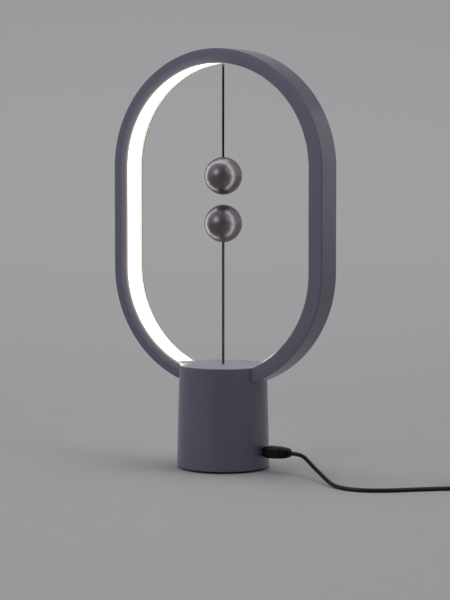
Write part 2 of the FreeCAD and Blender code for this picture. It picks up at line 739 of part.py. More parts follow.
def led_chips():
    """One row of light chips on the strip, facing the diffuser."""
    seat = (RING_OUTER - size.ring_wall - size.seat_gap - size.strip_thickness).number
    low = ARC_LOW.number
    straight = (ARC_HIGH - ARC_LOW).number
    long_side = size.chip_length.number
    across = size.chip_width.number
    thick = size.chip_height.number
    dark = math.asin((size.strip_gap_half + size.chip_length).number / seat)
    chip_start = seat - thick - size.chip_gap.number
    arc = math.pi * seat
    total = 2 * arc + 2 * straight
    start = dark * seat
    count = int((total - 2 * start) / size.chip_pitch.number)
    pitch = (total - 2 * start) / count
    chips = []
    for index in range(count + 1):
        run = start + index * pitch
        if run < arc / 2:
            angle, height = run / seat, 0
        elif run < arc / 2 + straight:
            angle, height = math.pi / 2, run - arc / 2
        elif run < 1.5 * arc + straight:
            angle, height = (run - straight) / seat, straight
        elif run < 1.5 * arc + 2 * straight:
            angle, height = 1.5 * math.pi, 1.5 * arc + 2 * straight - run
        else:
            angle, height = (run - 2 * straight) / seat, 0
        chip = Part.makeBox(thick, across, long_side)
        chip.translate(FreeCAD.Vector(chip_start, -across / 2, -long_side / 2))
        chip.rotate(FreeCAD.Vector(), ALONG_Y, 90 - math.degrees(angle))
        chip.translate(FreeCAD.Vector(0, 0, low + height))
        chips.append(chip)
    shape_node("led_chips", Part.makeCompound(chips))


def upper_eyelet():
    """Collar and barrel that line the cord hole at the top of the ring."""
    bridge_top = RING_CEILING + size.diffuser_thickness + size.seat_gap + size.bridge_thickness
    bore = size.upper_cord_radius + size.seat_gap
    under = RING_CEILING - size.eyelet_flange
    shoulder = RING_CEILING - size.screw_fit
    outline = [
        (bore, under), (size.eyelet_radius, under), (size.eyelet_radius, shoulder),
        (size.eyelet_barrel, shoulder), (size.eyelet_barrel, bridge_top), (bore, bridge_top),
    ]
    keep(turned("upper_eyelet", outline), "upper_eyelet")


def cord_bridge():
    """Metal strip across the ring that takes the weight of the upper ball."""
    front = FRONT + size.cover_thickness + size.seat_gap
    back = BACK - size.ring_wall - size.seat_gap
    under = RING_CEILING + size.diffuser_thickness + size.seat_gap
    top = under + size.bridge_thickness
    half = size.bridge_half_width
    strip = box("bridge_strip", (-half, front, under), (half, back, top))
    ears = [
        box("bridge_ear", (-half, start, top),
            (half, start + size.bridge_thickness, top + size.bridge_ear))
        for start in (front + size.cover_rib_width, back - size.bridge_thickness)
    ]
    blank = join("bridge_blank", strip, *ears)
    hole_radius = size.eyelet_barrel + size.seat_gap
    hole = cylinder("bridge_hole", hole_radius, (0, 0, under - PAST),
                    size.bridge_thickness + PAST * 2)
    keep(cut("cord_bridge", blank, hole), "cord_bridge")


def upper_hanger_pin():
    """Headed pin through the eyelet; the swivel bead hangs under it."""
    seat = RING_CEILING + size.diffuser_thickness + size.seat_gap * 2 + size.bridge_thickness
    end = UPPER_PIVOT + size.bead_radius + size.link_gap
    shank = size.upper_cord_radius
    head = size.pin_head_radius
    outline = [
        (0, end), (shank, end), (shank, seat), (head, seat),
        (head, seat + size.pin_head_height), (0, seat + size.pin_head_height),
    ]
    keep(turned("upper_hanger_pin", outline), "upper_hanger_pin")


# ---------------------------------------------------------------- balls

def ball_pieces(prefix, centre, up):
    """Two shells, holder, magnet and knot; up is 1 when the cord leaves upwards, else -1."""
    cord = size.upper_cord_radius if up == 1 else size.lower_cord_radius
    hole = cord + size.cord_fit
    half_seam = size.ball_seam / 2

    def ring_between(name, radius, bore, low, high):
        """A tube between two levels counted from the ball's middle towards its cord."""
        bottom = centre + low if up == 1 else centre - high
        outer = cylinder(name + "_outer", radius, (0, 0, bottom), high - low)
        if bore is None:
            return outer
        inner = cylinder(name + "_bore", bore, (0, 0, bottom - PAST),
                         high - low + PAST * 2)
        return cut(name, outer, inner)

    cord_half = (0, 90) if up == 1 else (-90, 0)
    gap_half = (-90, 0) if up == 1 else (0, 90)
    middle = (0, 0, centre)
    lip_radius = BALL_ROOM + size.ball_wall / 2
    names = ("top", "bottom") if up == 1 else ("bottom", "top")

    cord_shell = cut(
        prefix + "_cord_shell",
        sphere(prefix + "_cord_outer", BALL_RADIUS, middle, *cord_half),
        sphere(prefix + "_cord_room", BALL_ROOM, middle),
        ring_between(prefix + "_cord_hole", hole, None, BALL_ROOM - PAST,
                     BALL_RADIUS + PAST),
        ring_between(prefix + "_rebate", lip_radius + half_seam, None, -PAST,
                     size.lip_height + size.lip_room),
        ring_between(prefix + "_seam", BALL_RADIUS + PAST, None, -PAST, half_seam),
    )
    keep(cord_shell, f"{prefix}_{names[0]}_shell")

    gap_shell_blank = cut(
        prefix + "_gap_shell_blank",
        sphere(prefix + "_gap_outer", BALL_RADIUS, middle, *gap_half),
        sphere(prefix + "_gap_room", BALL_ROOM, middle),
        ring_between(prefix + "_gap_seam", BALL_RADIUS + PAST, lip_radius, -half_seam,
                     length(PAST)),
    )
    lip = ring_between(prefix + "_lip", lip_radius, BALL_ROOM, -size.lip_height, size.lip_height)
    trimmed = overlap(prefix + "_lip_trimmed", lip,
                      sphere(prefix + "_lip_limit", BALL_RADIUS - size.lip_skin, middle))
    gap_shell = join(prefix + "_gap_shell", gap_shell_blank, trimmed)
    keep(gap_shell, f"{prefix}_{names[1]}_shell")

    clear = size.magnet_radius * size.magnet_radius
    magnet_end = -root(BALL_ROOM * BALL_ROOM - clear) + size.seat_gap
    magnet_start = magnet_end + size.magnet_height
    magnet = ring_between(prefix + "_magnet_disc", size.magnet_radius, None, magnet_end,
                          magnet_start)
    keep(magnet, f"{prefix}_magnet")

    rim = size.holder_radius * size.holder_radius
    holder_end = -root(BALL_ROOM * BALL_ROOM - rim) + size.seat_gap
    flange_radius = BALL_ROOM - size.seat_gap * 3
    holder = cut(
        prefix + "_holder",
        join(
            prefix + "_holder_blank",
            ring_between(prefix + "_cup", size.holder_radius, None, holder_end, length(0)),
            ring_between(prefix + "_flange", flange_radius, None, -size.holder_flange, length(0)),
        ),
        ring_between(prefix + "_magnet_room", size.magnet_radius + size.magnet_fit, None,
                     holder_end - PAST, magnet_start + size.magnet_fit),
        ring_between(prefix + "_knot_room", size.knot_room, None, magnet_start, -size.holder_cap),
        ring_between(prefix + "_cord_way", hole, None, magnet_start, length(PAST)),
    )
    keep(holder, f"{prefix}_magnet_holder")

    knot_level = -size.holder_cap - size.knot_radius - size.seat_gap
    knot_height = centre + knot_level if up == 1 else centre - knot_level
    knot = cut(
        prefix + "_knot_bored",
        sphere(prefix + "_knot_ball", size.knot_radius, (0, 0, knot_height)),
        ring_between(prefix + "_knot_bore", cord + size.screw_fit, None, knot_level,
                     length(PAST)),
    )
    keep(knot, f"{prefix}_cord_knot")

    return knot_height


def hanging_cord(label, radius, low, high):
    keep(cylinder(label, radius, (0, 0, low), high - low), label)


def upper_pendulum():
    """Swivel bead, cord and ball that hang from the top of the ring."""
    bead = sphere("upper_swivel_bead", size.bead_radius, (0, 0, UPPER_PIVOT))
    keep(bead, "upper_swivel_bead")
    knot_height = ball_pieces("upper_ball", size.upper_ball_height, 1)
    top = UPPER_PIVOT - size.bead_radius - size.link_gap
    hanging_cord("upper_cord", size.upper_cord_radius, knot_height, top)


def lower_pendulum():
    """Limp spot, cord and ball that stand over the base while the magnets hold them."""
    bend = sphere("lower_cord_bend", size.bend_radius, (0, 0, LOWER_PIVOT))
    keep(bend, "lower_cord_bend")
    knot_height = ball_pieces("lower_ball", LOWER_BALL_HEIGHT, -1)
    start = LOWER_PIVOT + size.bend_radius + size.link_gap
    hanging_cord("lower_cord", size.lower_cord_radius, start, knot_height)


# ---------------------------------------------------------------- base

def base_shell():
    """Tapered outer shell with the slot for the ring, the port and its screw bosses."""
    body = new_body("base_shell")
    roof = size.base_height - size.top_wall
    outline = [
        (0, roof), (0, size.base_height), (size.base_radius_top, size.base_height),
        (size.base_radius_bottom, size.foot_height),
        (size.base_radius_bottom - size.shell_wall, size.foot_height),
        (size.base_radius_top - size.shell_wall, roof),
    ]
    tip = revolve(body, outline)

    rims = ((size.base_height.number, size.base_radius_top.number),
            (size.foot_height.number, size.base_radius_bottom.number))

    def outer_rims(edge):
        room = edge.BoundBox
        return room.ZLength < NEAR and any(
            abs(room.ZMin - height) < NEAR and abs(room.XMax - radius) < NEAR
            for height, radius in rims)

    round_edges(body, tip, size.rim_round, outer_rims)

    columns = corners(COLUMN_X, COLUMN_Y)
    column_start = SADDLE_TOP + size.seat_gap
    raise_posts(body, columns, size.boss_radius, column_start, roof - column_start + PAST)
    pilot = size.screw_radius + size.screw_fit
    drill_up(body, columns, pilot, column_start, size.boss_height)

    diagonal = BOSS_CIRCLE * math.sqrt(0.5)
    boss = raise_posts(body, [(diagonal, diagonal)], size.boss_radius, PLATE_TOP, size.boss_height)
    hole = drill_up(body, [(diagonal, diagonal)], pilot, PLATE_TOP,
                    size.boss_height - size.hole_end)
    body.Tip = repeat_round(body, (boss, hole))

    slot = sketch_on(body, XZ, BACK + size.slot_clearance)
    circle(slot, 0, ARC_LOW, RING_OUTER + size.slot_clearance)
    body.Tip = pocket(body, slot, size.ring_depth + size.slot_clearance * 2)

    outside = size.base_radius_bottom + PAST
    recess = sketch_on(body, YZ, outside)
    half = size.port_width / 2 - size.port_height / 2
    capsule(recess, (-half, PORT_HEIGHT), (half, PORT_HEIGHT), size.port_height / 2, -90)
    pocket(body, recess, outside - PORT_FLOOR)
    port = sketch_on(body, YZ, PORT_FLOOR)
    half_width = size.socket_width / 2 + size.port_slot_fit
    half_height = size.socket_height / 2 + size.port_slot_fit
    rectangle(port, (-half_width, PORT_HEIGHT - half_height),
              (half_width, PORT_HEIGHT + half_height))
    body.Tip = pocket(body, port, size.shell_wall)
    keep(body, "base_shell")


def repeat_round(body, features):
    """Repeat features four times about Z."""
    feature = body.newObject("PartDesign::PolarPattern", body.Name + "_pattern")
    feature.Originals = list(features)
    z_line = next(item for item in body.Origin.OriginFeatures if item.Role == "Z_Axis")
    feature.Axis = (z_line, [""])
    feature.Angle = 360
    feature.Occurrences = 4
    return feature


def slot_cover():
    """Strip that closes the base over the ring, with the hole for the guide tube."""
    length_half = size.base_radius_top - size.cover_inset
    blank = box("slot_cover_block", (-length_half, FRONT, RING_BOTTOM),
                (length_half, BACK, size.base_height))
    room_radius = RING_INNER - size.seat_gap * 3
    room = cylinder("slot_cover_room", room_radius, (0, FRONT - PAST, ARC_LOW),
                    size.ring_depth + PAST * 2, ALONG_Y)
    strip = overlap("slot_cover_strip", blank, room)
    through = cylinder("slot_cover_hole", size.tube_radius + size.tube_fit,
                       (0, 0, RING_BOTTOM), size.base_height)
    seat_depth = size.tube_flange_height + size.seat_gap
    seat = cylinder("slot_cover_seat", size.tube_flange_radius + size.tube_fit,
                    (0, 0, size.base_height - seat_depth), seat_depth + PAST)
    keep(cut("slot_cover", strip, through, seat), "slot_cover")


def cord_guide_tube():
    """Flanged tube that leads the lower cord down through the ring to the switch."""
    under = size.base_height - size.tube_flange_height
    outline = [
        (size.tube_bore, TUBE_BOTTOM), (size.tube_radius, TUBE_BOTTOM), (size.tube_radius, under),
        (size.tube_flange_radius, under), (size.tube_flange_radius, size.base_height),
        (size.tube_bore, size.base_height),
    ]
    keep(turned("cord_guide_tube", outline), "cord_guide_tube")


def ring_saddle():
    """Block under the roof of the base that carries the ring and the switch."""
    body = new_body("ring_saddle")
    flange = sketch_on(body, XY, SADDLE_FLOOR)
    rectangle(flange, (-SADDLE_HALF_WIDTH, -SADDLE_HALF_DEPTH),
              (SADDLE_HALF_WIDTH, SADDLE_HALF_DEPTH))
    pad(body, flange, size.saddle_flange)
    block = sketch_on(body, XY, SADDLE_TOP)
    rectangle(block, (-SADDLE_HALF_WIDTH, -size.cradle_half_depth),
              (SADDLE_HALF_WIDTH, size.cradle_half_depth))
    pad(body, block, RING_BOTTOM + size.cradle_rise - SADDLE_TOP)
    cradle = sketch_on(body, XZ, size.cradle_half_depth + PAST)
    circle(cradle, 0, ARC_LOW, RING_OUTER + size.seat_gap)
    pocket(body, cradle, (size.cradle_half_depth + PAST) * 2)
    floor = SADDLE_FLOOR
    clearance = size.screw_radius + size.hole_fit
    drill_up(body, corners(COLUMN_X, COLUMN_Y), clearance, floor, size.saddle_flange)
    ring_screws = [(side * size.ring_screw_x, 0) for side in SIDES]
    drill_up(body, ring_screws, clearance, floor, RING_BOTTOM + size.cradle_rise - floor)
    drill_up(body, ring_screws, size.screw_head_radius + size.hole_fit, floor,
             size.screw_head_height + size.hole_fit)
    drill_up(body, [(0, 0)], size.stem_radius + size.stem_fit, floor, size.stem_guide)
    drill_up(body, [(0, 0)], size.tube_radius + size.tube_fit, floor, RING_BOTTOM - floor)
    drill_up(body, [(-size.wire_x, size.wire_y)], size.wire_hole, floor, RING_BOTTOM)
    drill_up(body, bracket_screw_spots(), size.small_screw_radius + size.screw_fit, floor,
             size.small_hole_depth)
    keep(body, "ring_saddle")


def bracket_screw_spots():
    back_row = size.bracket_left - size.bracket_wall - size.small_head_radius - size.head_room
    front_row = size.switch_left + size.switch_length / 2
    depth = size.bracket_half_depth - size.small_head_radius - size.head_room
    return [(x, side * depth) for x in (-back_row, front_row) for side in SIDES]


def base_screws():
    """Saddle screws, ring screws, bottom screws, bracket screws and board screws."""
    large = (size.screw_radius, size.screw_head_radius, size.screw_head_height)
    small = (size.small_screw_radius, size.small_head_radius, size.small_head_height)
    head_under = SADDLE_FLOOR - size.screw_head_height
    columns = corners(COLUMN_X, COLUMN_Y)
    group("saddle_screws", [
        screw("saddle_screw", x, y, head_under, SADDLE_TOP + size.column_screw_reach, *large)
        for x, y in columns])
    ring_tip = RING_BOTTOM + RING_BOSS_HEIGHT - size.screw_end_gap
    group("ring_screws", [
        screw("ring_screw", side * size.ring_screw_x, 0, SADDLE_FLOOR + size.hole_fit,
              ring_tip, *large)
        for side in SIDES])
    small_under = SADDLE_FLOOR - size.bracket_wall - size.small_head_height
    small_tip = SADDLE_FLOOR + size.small_screw_reach
    group("bracket_screws", [
        screw("bracket_screw", x, y, small_under, small_tip, *small)
        for x, y in bracket_screw_spots()])
    diagonal = BOSS_CIRCLE * math.sqrt(0.5)
    bottom = size.foot_height + size.hole_fit
    tip = PLATE_TOP + size.boss_height - size.hole_end - size.screw_end_gap
    group("base_plate_screws", [
        screw("base_plate_screw", x, y, bottom, tip, *large)
        for x, y in corners(diagonal, diagonal)])


def base_plate():
    """Bottom plate with counterbored screw holes and the posts of the circuit board."""
    body = new_body("base_plate")
    disc = sketch_on(body, XY, size.foot_height)
    circle(disc, 0, 0, size.base_radius_bottom - size.shell_wall - size.plate_clearance)
    pad(body, disc, size.plate_thickness)
    posts = corners(size.post_x, size.post_y)
    raise_posts(body, posts, size.post_radius, PLATE_TOP, BOARD_BOTTOM - PLATE_TOP)
    pilot = size.small_screw_radius + size.screw_fit
    drill_up(body, posts, pilot, PLATE_TOP, BOARD_BOTTOM - PLATE_TOP + PAST)
    diagonal = BOSS_CIRCLE * math.sqrt(0.5)
    spots = sketch_on(body, XY, size.foot_height)
    circle(spots, diagonal, diagonal, size.screw_radius)
    doc.recompute()
    hole = body.newObject("PartDesign::Hole", "base_plate_hole")
    hole.Profile = spots
    hole.Reversed = True
    hole.DepthType = "ThroughAll"
    hole.Threaded = False
    bind(hole, "Diameter", (size.screw_radius + size.hole_fit) * 2)
    hole.HoleCutType = "Counterbore"
    hole.HoleCutCustomValues = True
    bind(hole, "HoleCutDiameter", (size.screw_head_radius + size.hole_fit) * 2)
    bind(hole, "HoleCutDepth", size.screw_head_height + size.hole_fit)
    body.Tip = repeat_round(body, [hole])
    keep(body, "base_plate")


def foot_pad():
    """Rubber pad that the lamp stands on, with a groove in its underside."""
    inner = size.foot_groove_inner
    outer = size.foot_groove_outer
    outline = [
        (0, 0), (inner, 0), (inner, size.foot_groove), (outer, size.foot_groove), (outer, 0),
        (FOOT_RADIUS, 0), (FOOT_RADIUS, size.foot_height), (0, size.foot_height),
    ]
    keep(turned("foot_pad", outline), "foot_pad")


def ballast_weight():
    """Steel disc that keeps the lamp standing, with holes for the board's posts."""
    body = new_body("ballast_weight")
    disc = sketch_on(body, XY, PLATE_TOP)
    circle(disc, 0, 0, BALLAST_RADIUS)
    circle(disc, 0, 0, size.ballast_bore)
    pad(body, disc, size.ballast_height)
    drill_up(body, corners(size.post_x, size.post_y), size.post_radius + size.hole_fit,
             PLATE_TOP - PAST, size.ballast_height + PAST * 2)
    keep(body, "ballast_weight")


def control_board():
    """Circuit board on the posts, with its screws, connectors and components."""
    body = new_body("control_board")
    sheet_outline = sketch_on(body, XY, BOARD_BOTTOM)
    rectangle(sheet_outline, (-size.board_left, -size.board_half),
              (BOARD_RIGHT, size.board_half))
    pad(body, sheet_outline, size.board_thickness)
    posts = corners(size.post_x, size.post_y)
    drill_up(body, posts, size.small_screw_radius + size.hole_fit, BOARD_BOTTOM - PAST,
             size.board_thickness + PAST * 2)
    keep(body, "control_board")

    tip = PLATE_TOP + size.board_screw_end
    slot_floor = BOARD_TOP + size.small_head_height - size.small_slot_depth
    screws = []
    for x, y in posts:
        head = cylinder("board_screw_head", size.small_head_radius, (x, y, BOARD_TOP),
                        size.small_head_height)
        shank = cylinder("board_screw_shank", size.small_screw_radius, (x, y, tip),
                         BOARD_TOP - tip)
        slot = box("board_screw_slot",
                   (x - size.small_head_radius, y - size.small_slot_half, slot_floor),
                   (x + size.small_head_radius, y + size.small_slot_half,
                    slot_floor + size.small_slot_depth + PAST))
        screws.append(cut("board_screw", join("board_screw_body", head, shank), slot))
    group("board_screws", screws)

    half = size.connector_half_width
    group("wire_connectors", [
        box("light_connector",
            (-size.wire_x - half, size.wire_y - size.connector_front, BOARD_TOP),
            (-size.wire_x + half, size.wire_y + size.connector_back, CONNECTOR_TOP)),
        box("switch_connector",
            (switch_wire_x() - half, -size.connector_half_depth, BOARD_TOP),
            (switch_wire_x() + half, size.connector_half_depth, CONNECTOR_TOP)),
    ])
    group("board_components", [
        *[box(name, (*low, BOARD_TOP), (*high, BOARD_TOP + height))
          for name, low, high, height in BOARD_BLOCKS],
        *[cylinder(name, radius, (*middle, BOARD_TOP), height)
          for name, middle, radius, height in BOARD_CANS],
    ])


def power_socket():
    """Metal socket on the edge of the board and the tongue inside it."""
    mouth = PORT_FLOOR
    rear = mouth - size.socket_length
    half_width = size.socket_width / 2
    wall = size.socket_wall
    outside = box("socket_outside", (rear, -half_width, BOARD_TOP),
                  (mouth, half_width, BOARD_TOP + size.socket_height))
    inside = box("socket_inside", (rear + wall, -half_width + wall, BOARD_TOP + wall),
                 (mouth + PAST, half_width - wall, BOARD_TOP + size.socket_height - wall))
    keep(cut("power_socket", outside, inside), "power_socket")
    tongue_half = size.tongue_thickness / 2
    tongue_width = size.tongue_half_width
    keep(box("socket_tongue", (rear + wall, -tongue_width, PORT_HEIGHT - tongue_half),
             (mouth - size.tongue_setback, tongue_width, PORT_HEIGHT + tongue_half)),
         "socket_tongue")


# ---------------------------------------------------------------- switch

def switch_wire_x():
    return size.switch_left + size.switch_length + size.switch_wire_out


def switch_bracket():
    """Bent steel bracket under the saddle that holds the microswitch and the lower bush."""
    body = new_body("switch_bracket")
    top = SADDLE_FLOOR
    wall = size.bracket_wall
    left = -size.bracket_left
    profile = sketch_on(body, XZ, -size.bracket_half_depth)
    polygon(profile, [
        (left, BRACKET_BOTTOM), (size.bracket_foot, BRACKET_BOTTOM),
        (size.bracket_foot, BRACKET_BOTTOM + wall), (left + wall, BRACKET_BOTTOM + wall),
        (left + wall, top - wall), (size.bracket_right, top - wall), (size.bracket_right, top),
        (left, top),
    ])
    pad(body, profile, size.bracket_half_depth * 2)
    spring_way = size.spring_radius + size.spring_wire + size.spring_room
    drill_up(body, [(0, 0)], spring_way, top - wall - PAST, wall + PAST)
    drill_up(body, bracket_screw_spots(), size.small_screw_radius + size.hole_fit,
             top - wall - PAST, wall + PAST)
    drill_up(body, [(0, 0)], size.bush_radius + size.screw_fit, BRACKET_BOTTOM - PAST,
             wall + PAST * 2)
    keep(body, "switch_bracket")


def plunger_bush():
    """Nylon bush that guides the stem and stops the plunger when the lamp is off."""
    bore = size.stem_radius + size.stem_fit
    bottom = BRACKET_BOTTOM - size.bush_end
    shoulder = BRACKET_BOTTOM + size.bracket_wall
    top = FLANGE_BOTTOM - size.switch_travel - size.stop_gap
    outline = [
        (bore, bottom), (size.bush_radius, bottom), (size.bush_radius, shoulder),
        (size.bush_flange_radius, shoulder), (size.bush_flange_radius, top), (bore, top),
    ]
    keep(turned("plunger_bush", outline), "plunger_bush")


def switch_plunger():
    """Stem with the collar that the spring pushes down and the cord pulls up."""
    bore = size.lower_cord_radius + size.screw_fit
    bore_end = STEM_TOP - size.stem_guide
    stem = size.stem_radius
    collar = size.plunger_flange_radius
    outline = [
        (0, STEM_BOTTOM), (stem, STEM_BOTTOM), (stem, FLANGE_BOTTOM), (collar, FLANGE_BOTTOM),
        (collar, FLANGE_TOP), (stem, FLANGE_TOP), (stem, STEM_TOP), (bore, STEM_TOP),
        (bore, bore_end), (0, bore_end),
    ]
    keep(turned("switch_plunger", outline), "switch_plunger")
    tail_start = bore_end + size.screw_fit
    tail_end = LOWER_PIVOT - size.bend_radius - size.link_gap
    hanging_cord("lower_cord_tail", size.lower_cord_radius, tail_start, tail_end)


def return_spring():
    """Compression spring between the collar and the saddle."""
    turns = doc.addObject("Part::Helix", "spring_line")
    bind(turns, "Pitch", size.spring_pitch)
    bind(turns, "Height", size.spring_length - size.spring_wire * 2)
    bind(turns, "Radius", size.spring_radius)
    move(turns, (0, 0, FLANGE_TOP + size.stop_gap + size.spring_wire))
    wire = doc.addObject("Part::Circle", "spring_section")
    bind(wire, "Radius", size.spring_wire)
    wire.Placement.Rotation = FreeCAD.Rotation(ALONG_Z, ALONG_Y)
    move(wire, (size.spring_radius, 0, FLANGE_TOP + size.stop_gap + size.spring_wire))
    coil = doc.addObject("Part::Sweep", "return_spring")
    coil.Sections = [wire]
    coil.Spine = turns
    coil.Solid = True
    coil.Frenet = True
    keep(coil, "return_spring")


def microswitch():
    """Switch body with its button, pivot pin and terminals, and the lever on its own."""
    left = size.switch_left
    right = left + size.switch_length
    depth = size.switch_half_depth
    middle = left + size.switch_length / 2
    half = size.lever_half_width
    pivot_x = right - size.pivot_inset
    pivot_z = (LEVER_BOTTOM + LEVER_TOP) / 2
    button_start = LEVER_TOP + size.seat_gap * 2
    ear_start = pivot_z - size.eye_radius
    inside = half + size.ear_gap
    rise = SWITCH_BOTTOM + size.terminal_rise
    body = join(
        "microswitch_body",
        box("switch_case", (left, -depth, SWITCH_BOTTOM), (right, depth, SWITCH_TOP)),
        cylinder("switch_button", size.button_radius, (middle, 0, button_start),
                 SWITCH_BOTTOM - button_start),
        cylinder("pivot_pin", size.pivot_radius, (pivot_x, -depth, pivot_z), depth * 2, ALONG_Y),
        *[box("pivot_ear", (pivot_x - size.pivot_inset, low, ear_start),
              (right, high, SWITCH_BOTTOM))
          for low, high in ((-depth, -inside), (inside, depth))],
        *[box("terminal", (right, side * size.wire_spread - size.terminal_half_width, rise),
              (right + size.terminal_length,
               side * size.wire_spread + size.terminal_half_width,
               rise + size.terminal_thickness))
          for side in SIDES],
    )
    keep(body, "microswitch_body")
    tip = size.plunger_flange_radius - size.lever_overlap
    strip = box("lever_strip", (tip, -half, LEVER_BOTTOM), (pivot_x, half, LEVER_TOP))
    eye = cylinder("lever_eye", size.eye_radius, (pivot_x, -half, pivot_z), half * 2, ALONG_Y)
    bore = cylinder("lever_bore", size.pivot_radius + size.pivot_fit,
                    (pivot_x, -half - PAST, pivot_z), (half + PAST) * 2, ALONG_Y)
    keep(cut("microswitch_lever", join("lever_blank", strip, eye), bore), "microswitch_lever")


# ---------------------------------------------------------------- wires

def light_wires():
    """Two wires from the end of the light strip through the saddle to the board."""
    seat = RING_OUTER - size.ring_wall - size.seat_gap - size.strip_thickness
    end_radius = (seat - size.wire_radius - size.seat_gap).number
    start_angle = math.asin((size.strip_gap_half + size.wire_radius).number / seat.number)
    turn_angle = math.asin((size.wire_x + size.wire_turn).number / seat.number)
    lead_radius = end_radius - size.wire_lead.number
    low = ARC_LOW.number
    x = -size.wire_x.number
    connector = (CONNECTOR_TOP + size.screw_fit).number
    wires = []
    for side in SIDES:
        y = (size.wire_y + side * size.wire_spread).number
        y_start = side * size.wire_spread.number * 2
        start = (-end_radius * math.sin(start_angle), y_start,
                 low - end_radius * math.cos(start_angle))
        knee = (-lead_radius * math.sin(turn_angle), y,
                low - lead_radius * math.cos(turn_angle))
        drop = (x, y, (RING_BOTTOM + size.wire_drop).number)
        route = [start, knee, drop, (x, y, connector)]
        wires.append(tube_along(route, size.wire_radius.number, size.wire_radius.number))
    shape_node("light_wires", Part.makeCompound(wires))


def switch_wires():
    """Two wires from the microswitch's terminals down to the board."""
    pin_end = size.switch_left + size.switch_length + size.terminal_length + size.screw_fit
    pin_height = (SWITCH_BOTTOM + size.terminal_rise + size.terminal_thickness / 2).number
    drop_x = switch_wire_x().number
    connector = (CONNECTOR_TOP + size.screw_fit).number
    wires = []
    for side in SIDES:
        y = side * size.wire_spread.number
        route = [(pin_end.number, y, pin_height), (drop_x, y, pin_height), (drop_x, y, connector)]
        wires.append(tube_along(route, size.wire_radius.number, size.wire_radius.number))
    shape_node("switch_wires", Part.makeCompound(wires))


# ---------------------------------------------------------------- power cable

def small_plug():
    """Metal shell, grip and strain relief of the plug in the base."""
    wall = size.socket_wall
    half_width = size.socket_width / 2 - wall - size.socket_fit
    half_height = size.socket_height / 2 - wall - size.socket_fit
    tip = PLUG_START - size.plug_shell_length
    outside = box("plug_shell_outside", (tip, -half_width, PORT_HEIGHT - half_height),
                  (PLUG_START, half_width, PORT_HEIGHT + half_height))
    inside = box("plug_shell_inside",
                 (tip - PAST, -half_width + wall, PORT_HEIGHT - half_height + wall),
                 (PLUG_START - wall, half_width - wall, PORT_HEIGHT + half_height - wall))
    keep(cut("plug_shell", outside, inside), "plug_shell")

    keep(chamfered_loft("plug_grip", [
        (PLUG_START, size.nose_width, size.nose_height),
        (PLUG_START + size.nose_length, size.grip_width, size.grip_height),
        (GRIP_END - size.heel_length, size.grip_width, size.grip_height),
        (GRIP_END, size.heel_width, size.heel_height),
    ]), "plug_grip")
    keep(chamfered_loft("plug_strain_relief", [
        (GRIP_END, size.relief_width, size.relief_height),
        (RELIEF_END, size.relief_width, size.relief_height),
    ]), "plug_strain_relief")


def chamfered_loft(name, stations):
    """A body through rectangles with cut corners, each a place along X, a width and a height."""
    body = new_body(name)
    loft = body.newObject("PartDesign::AdditiveLoft", name + "_loft")
    sections = []
    for x, width, height in stations:
        section = sketch_on(body, YZ, x)
        chamfered(section, width / 2, height / 2, height * GRIP_CORNER)
        sections.append(section)
    loft.Profile = sections[0]
    loft.Sections = sections[1:]
    loft.Ruled = True
    return body


def chamfered(sketch, half_width, half_height, corner):
    """A rectangle with cut corners, centred on the port."""
    outline = []
    for side, end, along in ((1, 1, True), (-1, 1, False), (-1, -1, True), (1, -1, False)):
        level = (side * half_width, PORT_HEIGHT + end * (half_height - corner))
        flat = (side * (half_width - corner), PORT_HEIGHT + end * half_height)
        outline += [level, flat] if along else [flat, level]
    polygon(sketch, outline)


def power_cable():
    """Cable from the small plug over the table to the coil, the coil, and its tail."""
    radius = size.cable_radius.number
    table = (size.cable_radius + size.screw_fit).number
    exit_z = PORT_HEIGHT.number
    route = [
        (RELIEF_END.number, 0, exit_z), (78, 0, exit_z), (83.2, -1, 18.15), (88.8, -3.4, 17.2),
        (94.7, -7.8, 15.2), (104.9, -17.4, 12.2), (118, -29.3, 8.6), (131.4, -41.4, 4.8),
        (145, -53, table), (161, -61.6, table), (179, -61.8, table), (196, -53, table),
        (211.5, -39.2, table), (228, -24.8, table), (245, -11.2, table), (261.4, -1.2, table),
    ]
    shape_node("power_cable", tube_along(route, radius, LEAST_BEND * radius))

    wide = size.cable_radius * size.coil_turns_wide
    high = size.cable_radius * size.coil_turns_high * 2
    floor = size.tie_thickness + size.seat_gap
    corner = size.cable_radius * COIL_CORNER
    inner = size.coil_radius - wide
    outer = size.coil_radius + wide
    coil_outline = [
        (inner + corner, floor), (outer - corner, floor), (outer, floor + corner),
        (outer, floor + high - corner), (outer - corner, floor + high),
        (inner + corner, floor + high), (inner, floor + high - corner), (inner, floor + corner),
    ]
    keep(turned("cable_coil", coil_outline, (size.coil_x, size.coil_y, 0)), "cable_coil")

    side = size.coil_x - size.coil_radius
    thick = size.tie_thickness
    band = box("tie_block",
               (side - wide - thick - size.seat_gap * 2, size.coil_y - size.tie_half_width, 0),
               (side + wide + thick + size.tie_tail, size.coil_y + size.tie_half_width,
                floor + high + size.seat_gap + thick))
    slack = size.seat_gap
    bundle = turned("tie_room", [
        (inner - slack, thick), (outer + slack, thick),
        (outer + slack, floor + high + slack), (inner - slack, floor + high + slack),
    ], (size.coil_x, size.coil_y, 0))
    keep(cut("coil_tie", band, bundle), "coil_tie")

    plug_z = (size.host_height / 2).number
    tail = [(276.8, 46.6, 8.6), (273.6, 53.4, 5.6), (270.9, 60, plug_z), (268.6, 66.2, plug_z)]
    shape_node("cable_tail", tube_along(tail, radius, LEAST_BEND * radius))
    large_plug(tail[-1], (tail[-1][0] - tail[-2][0], tail[-1][1] - tail[-2][1]))


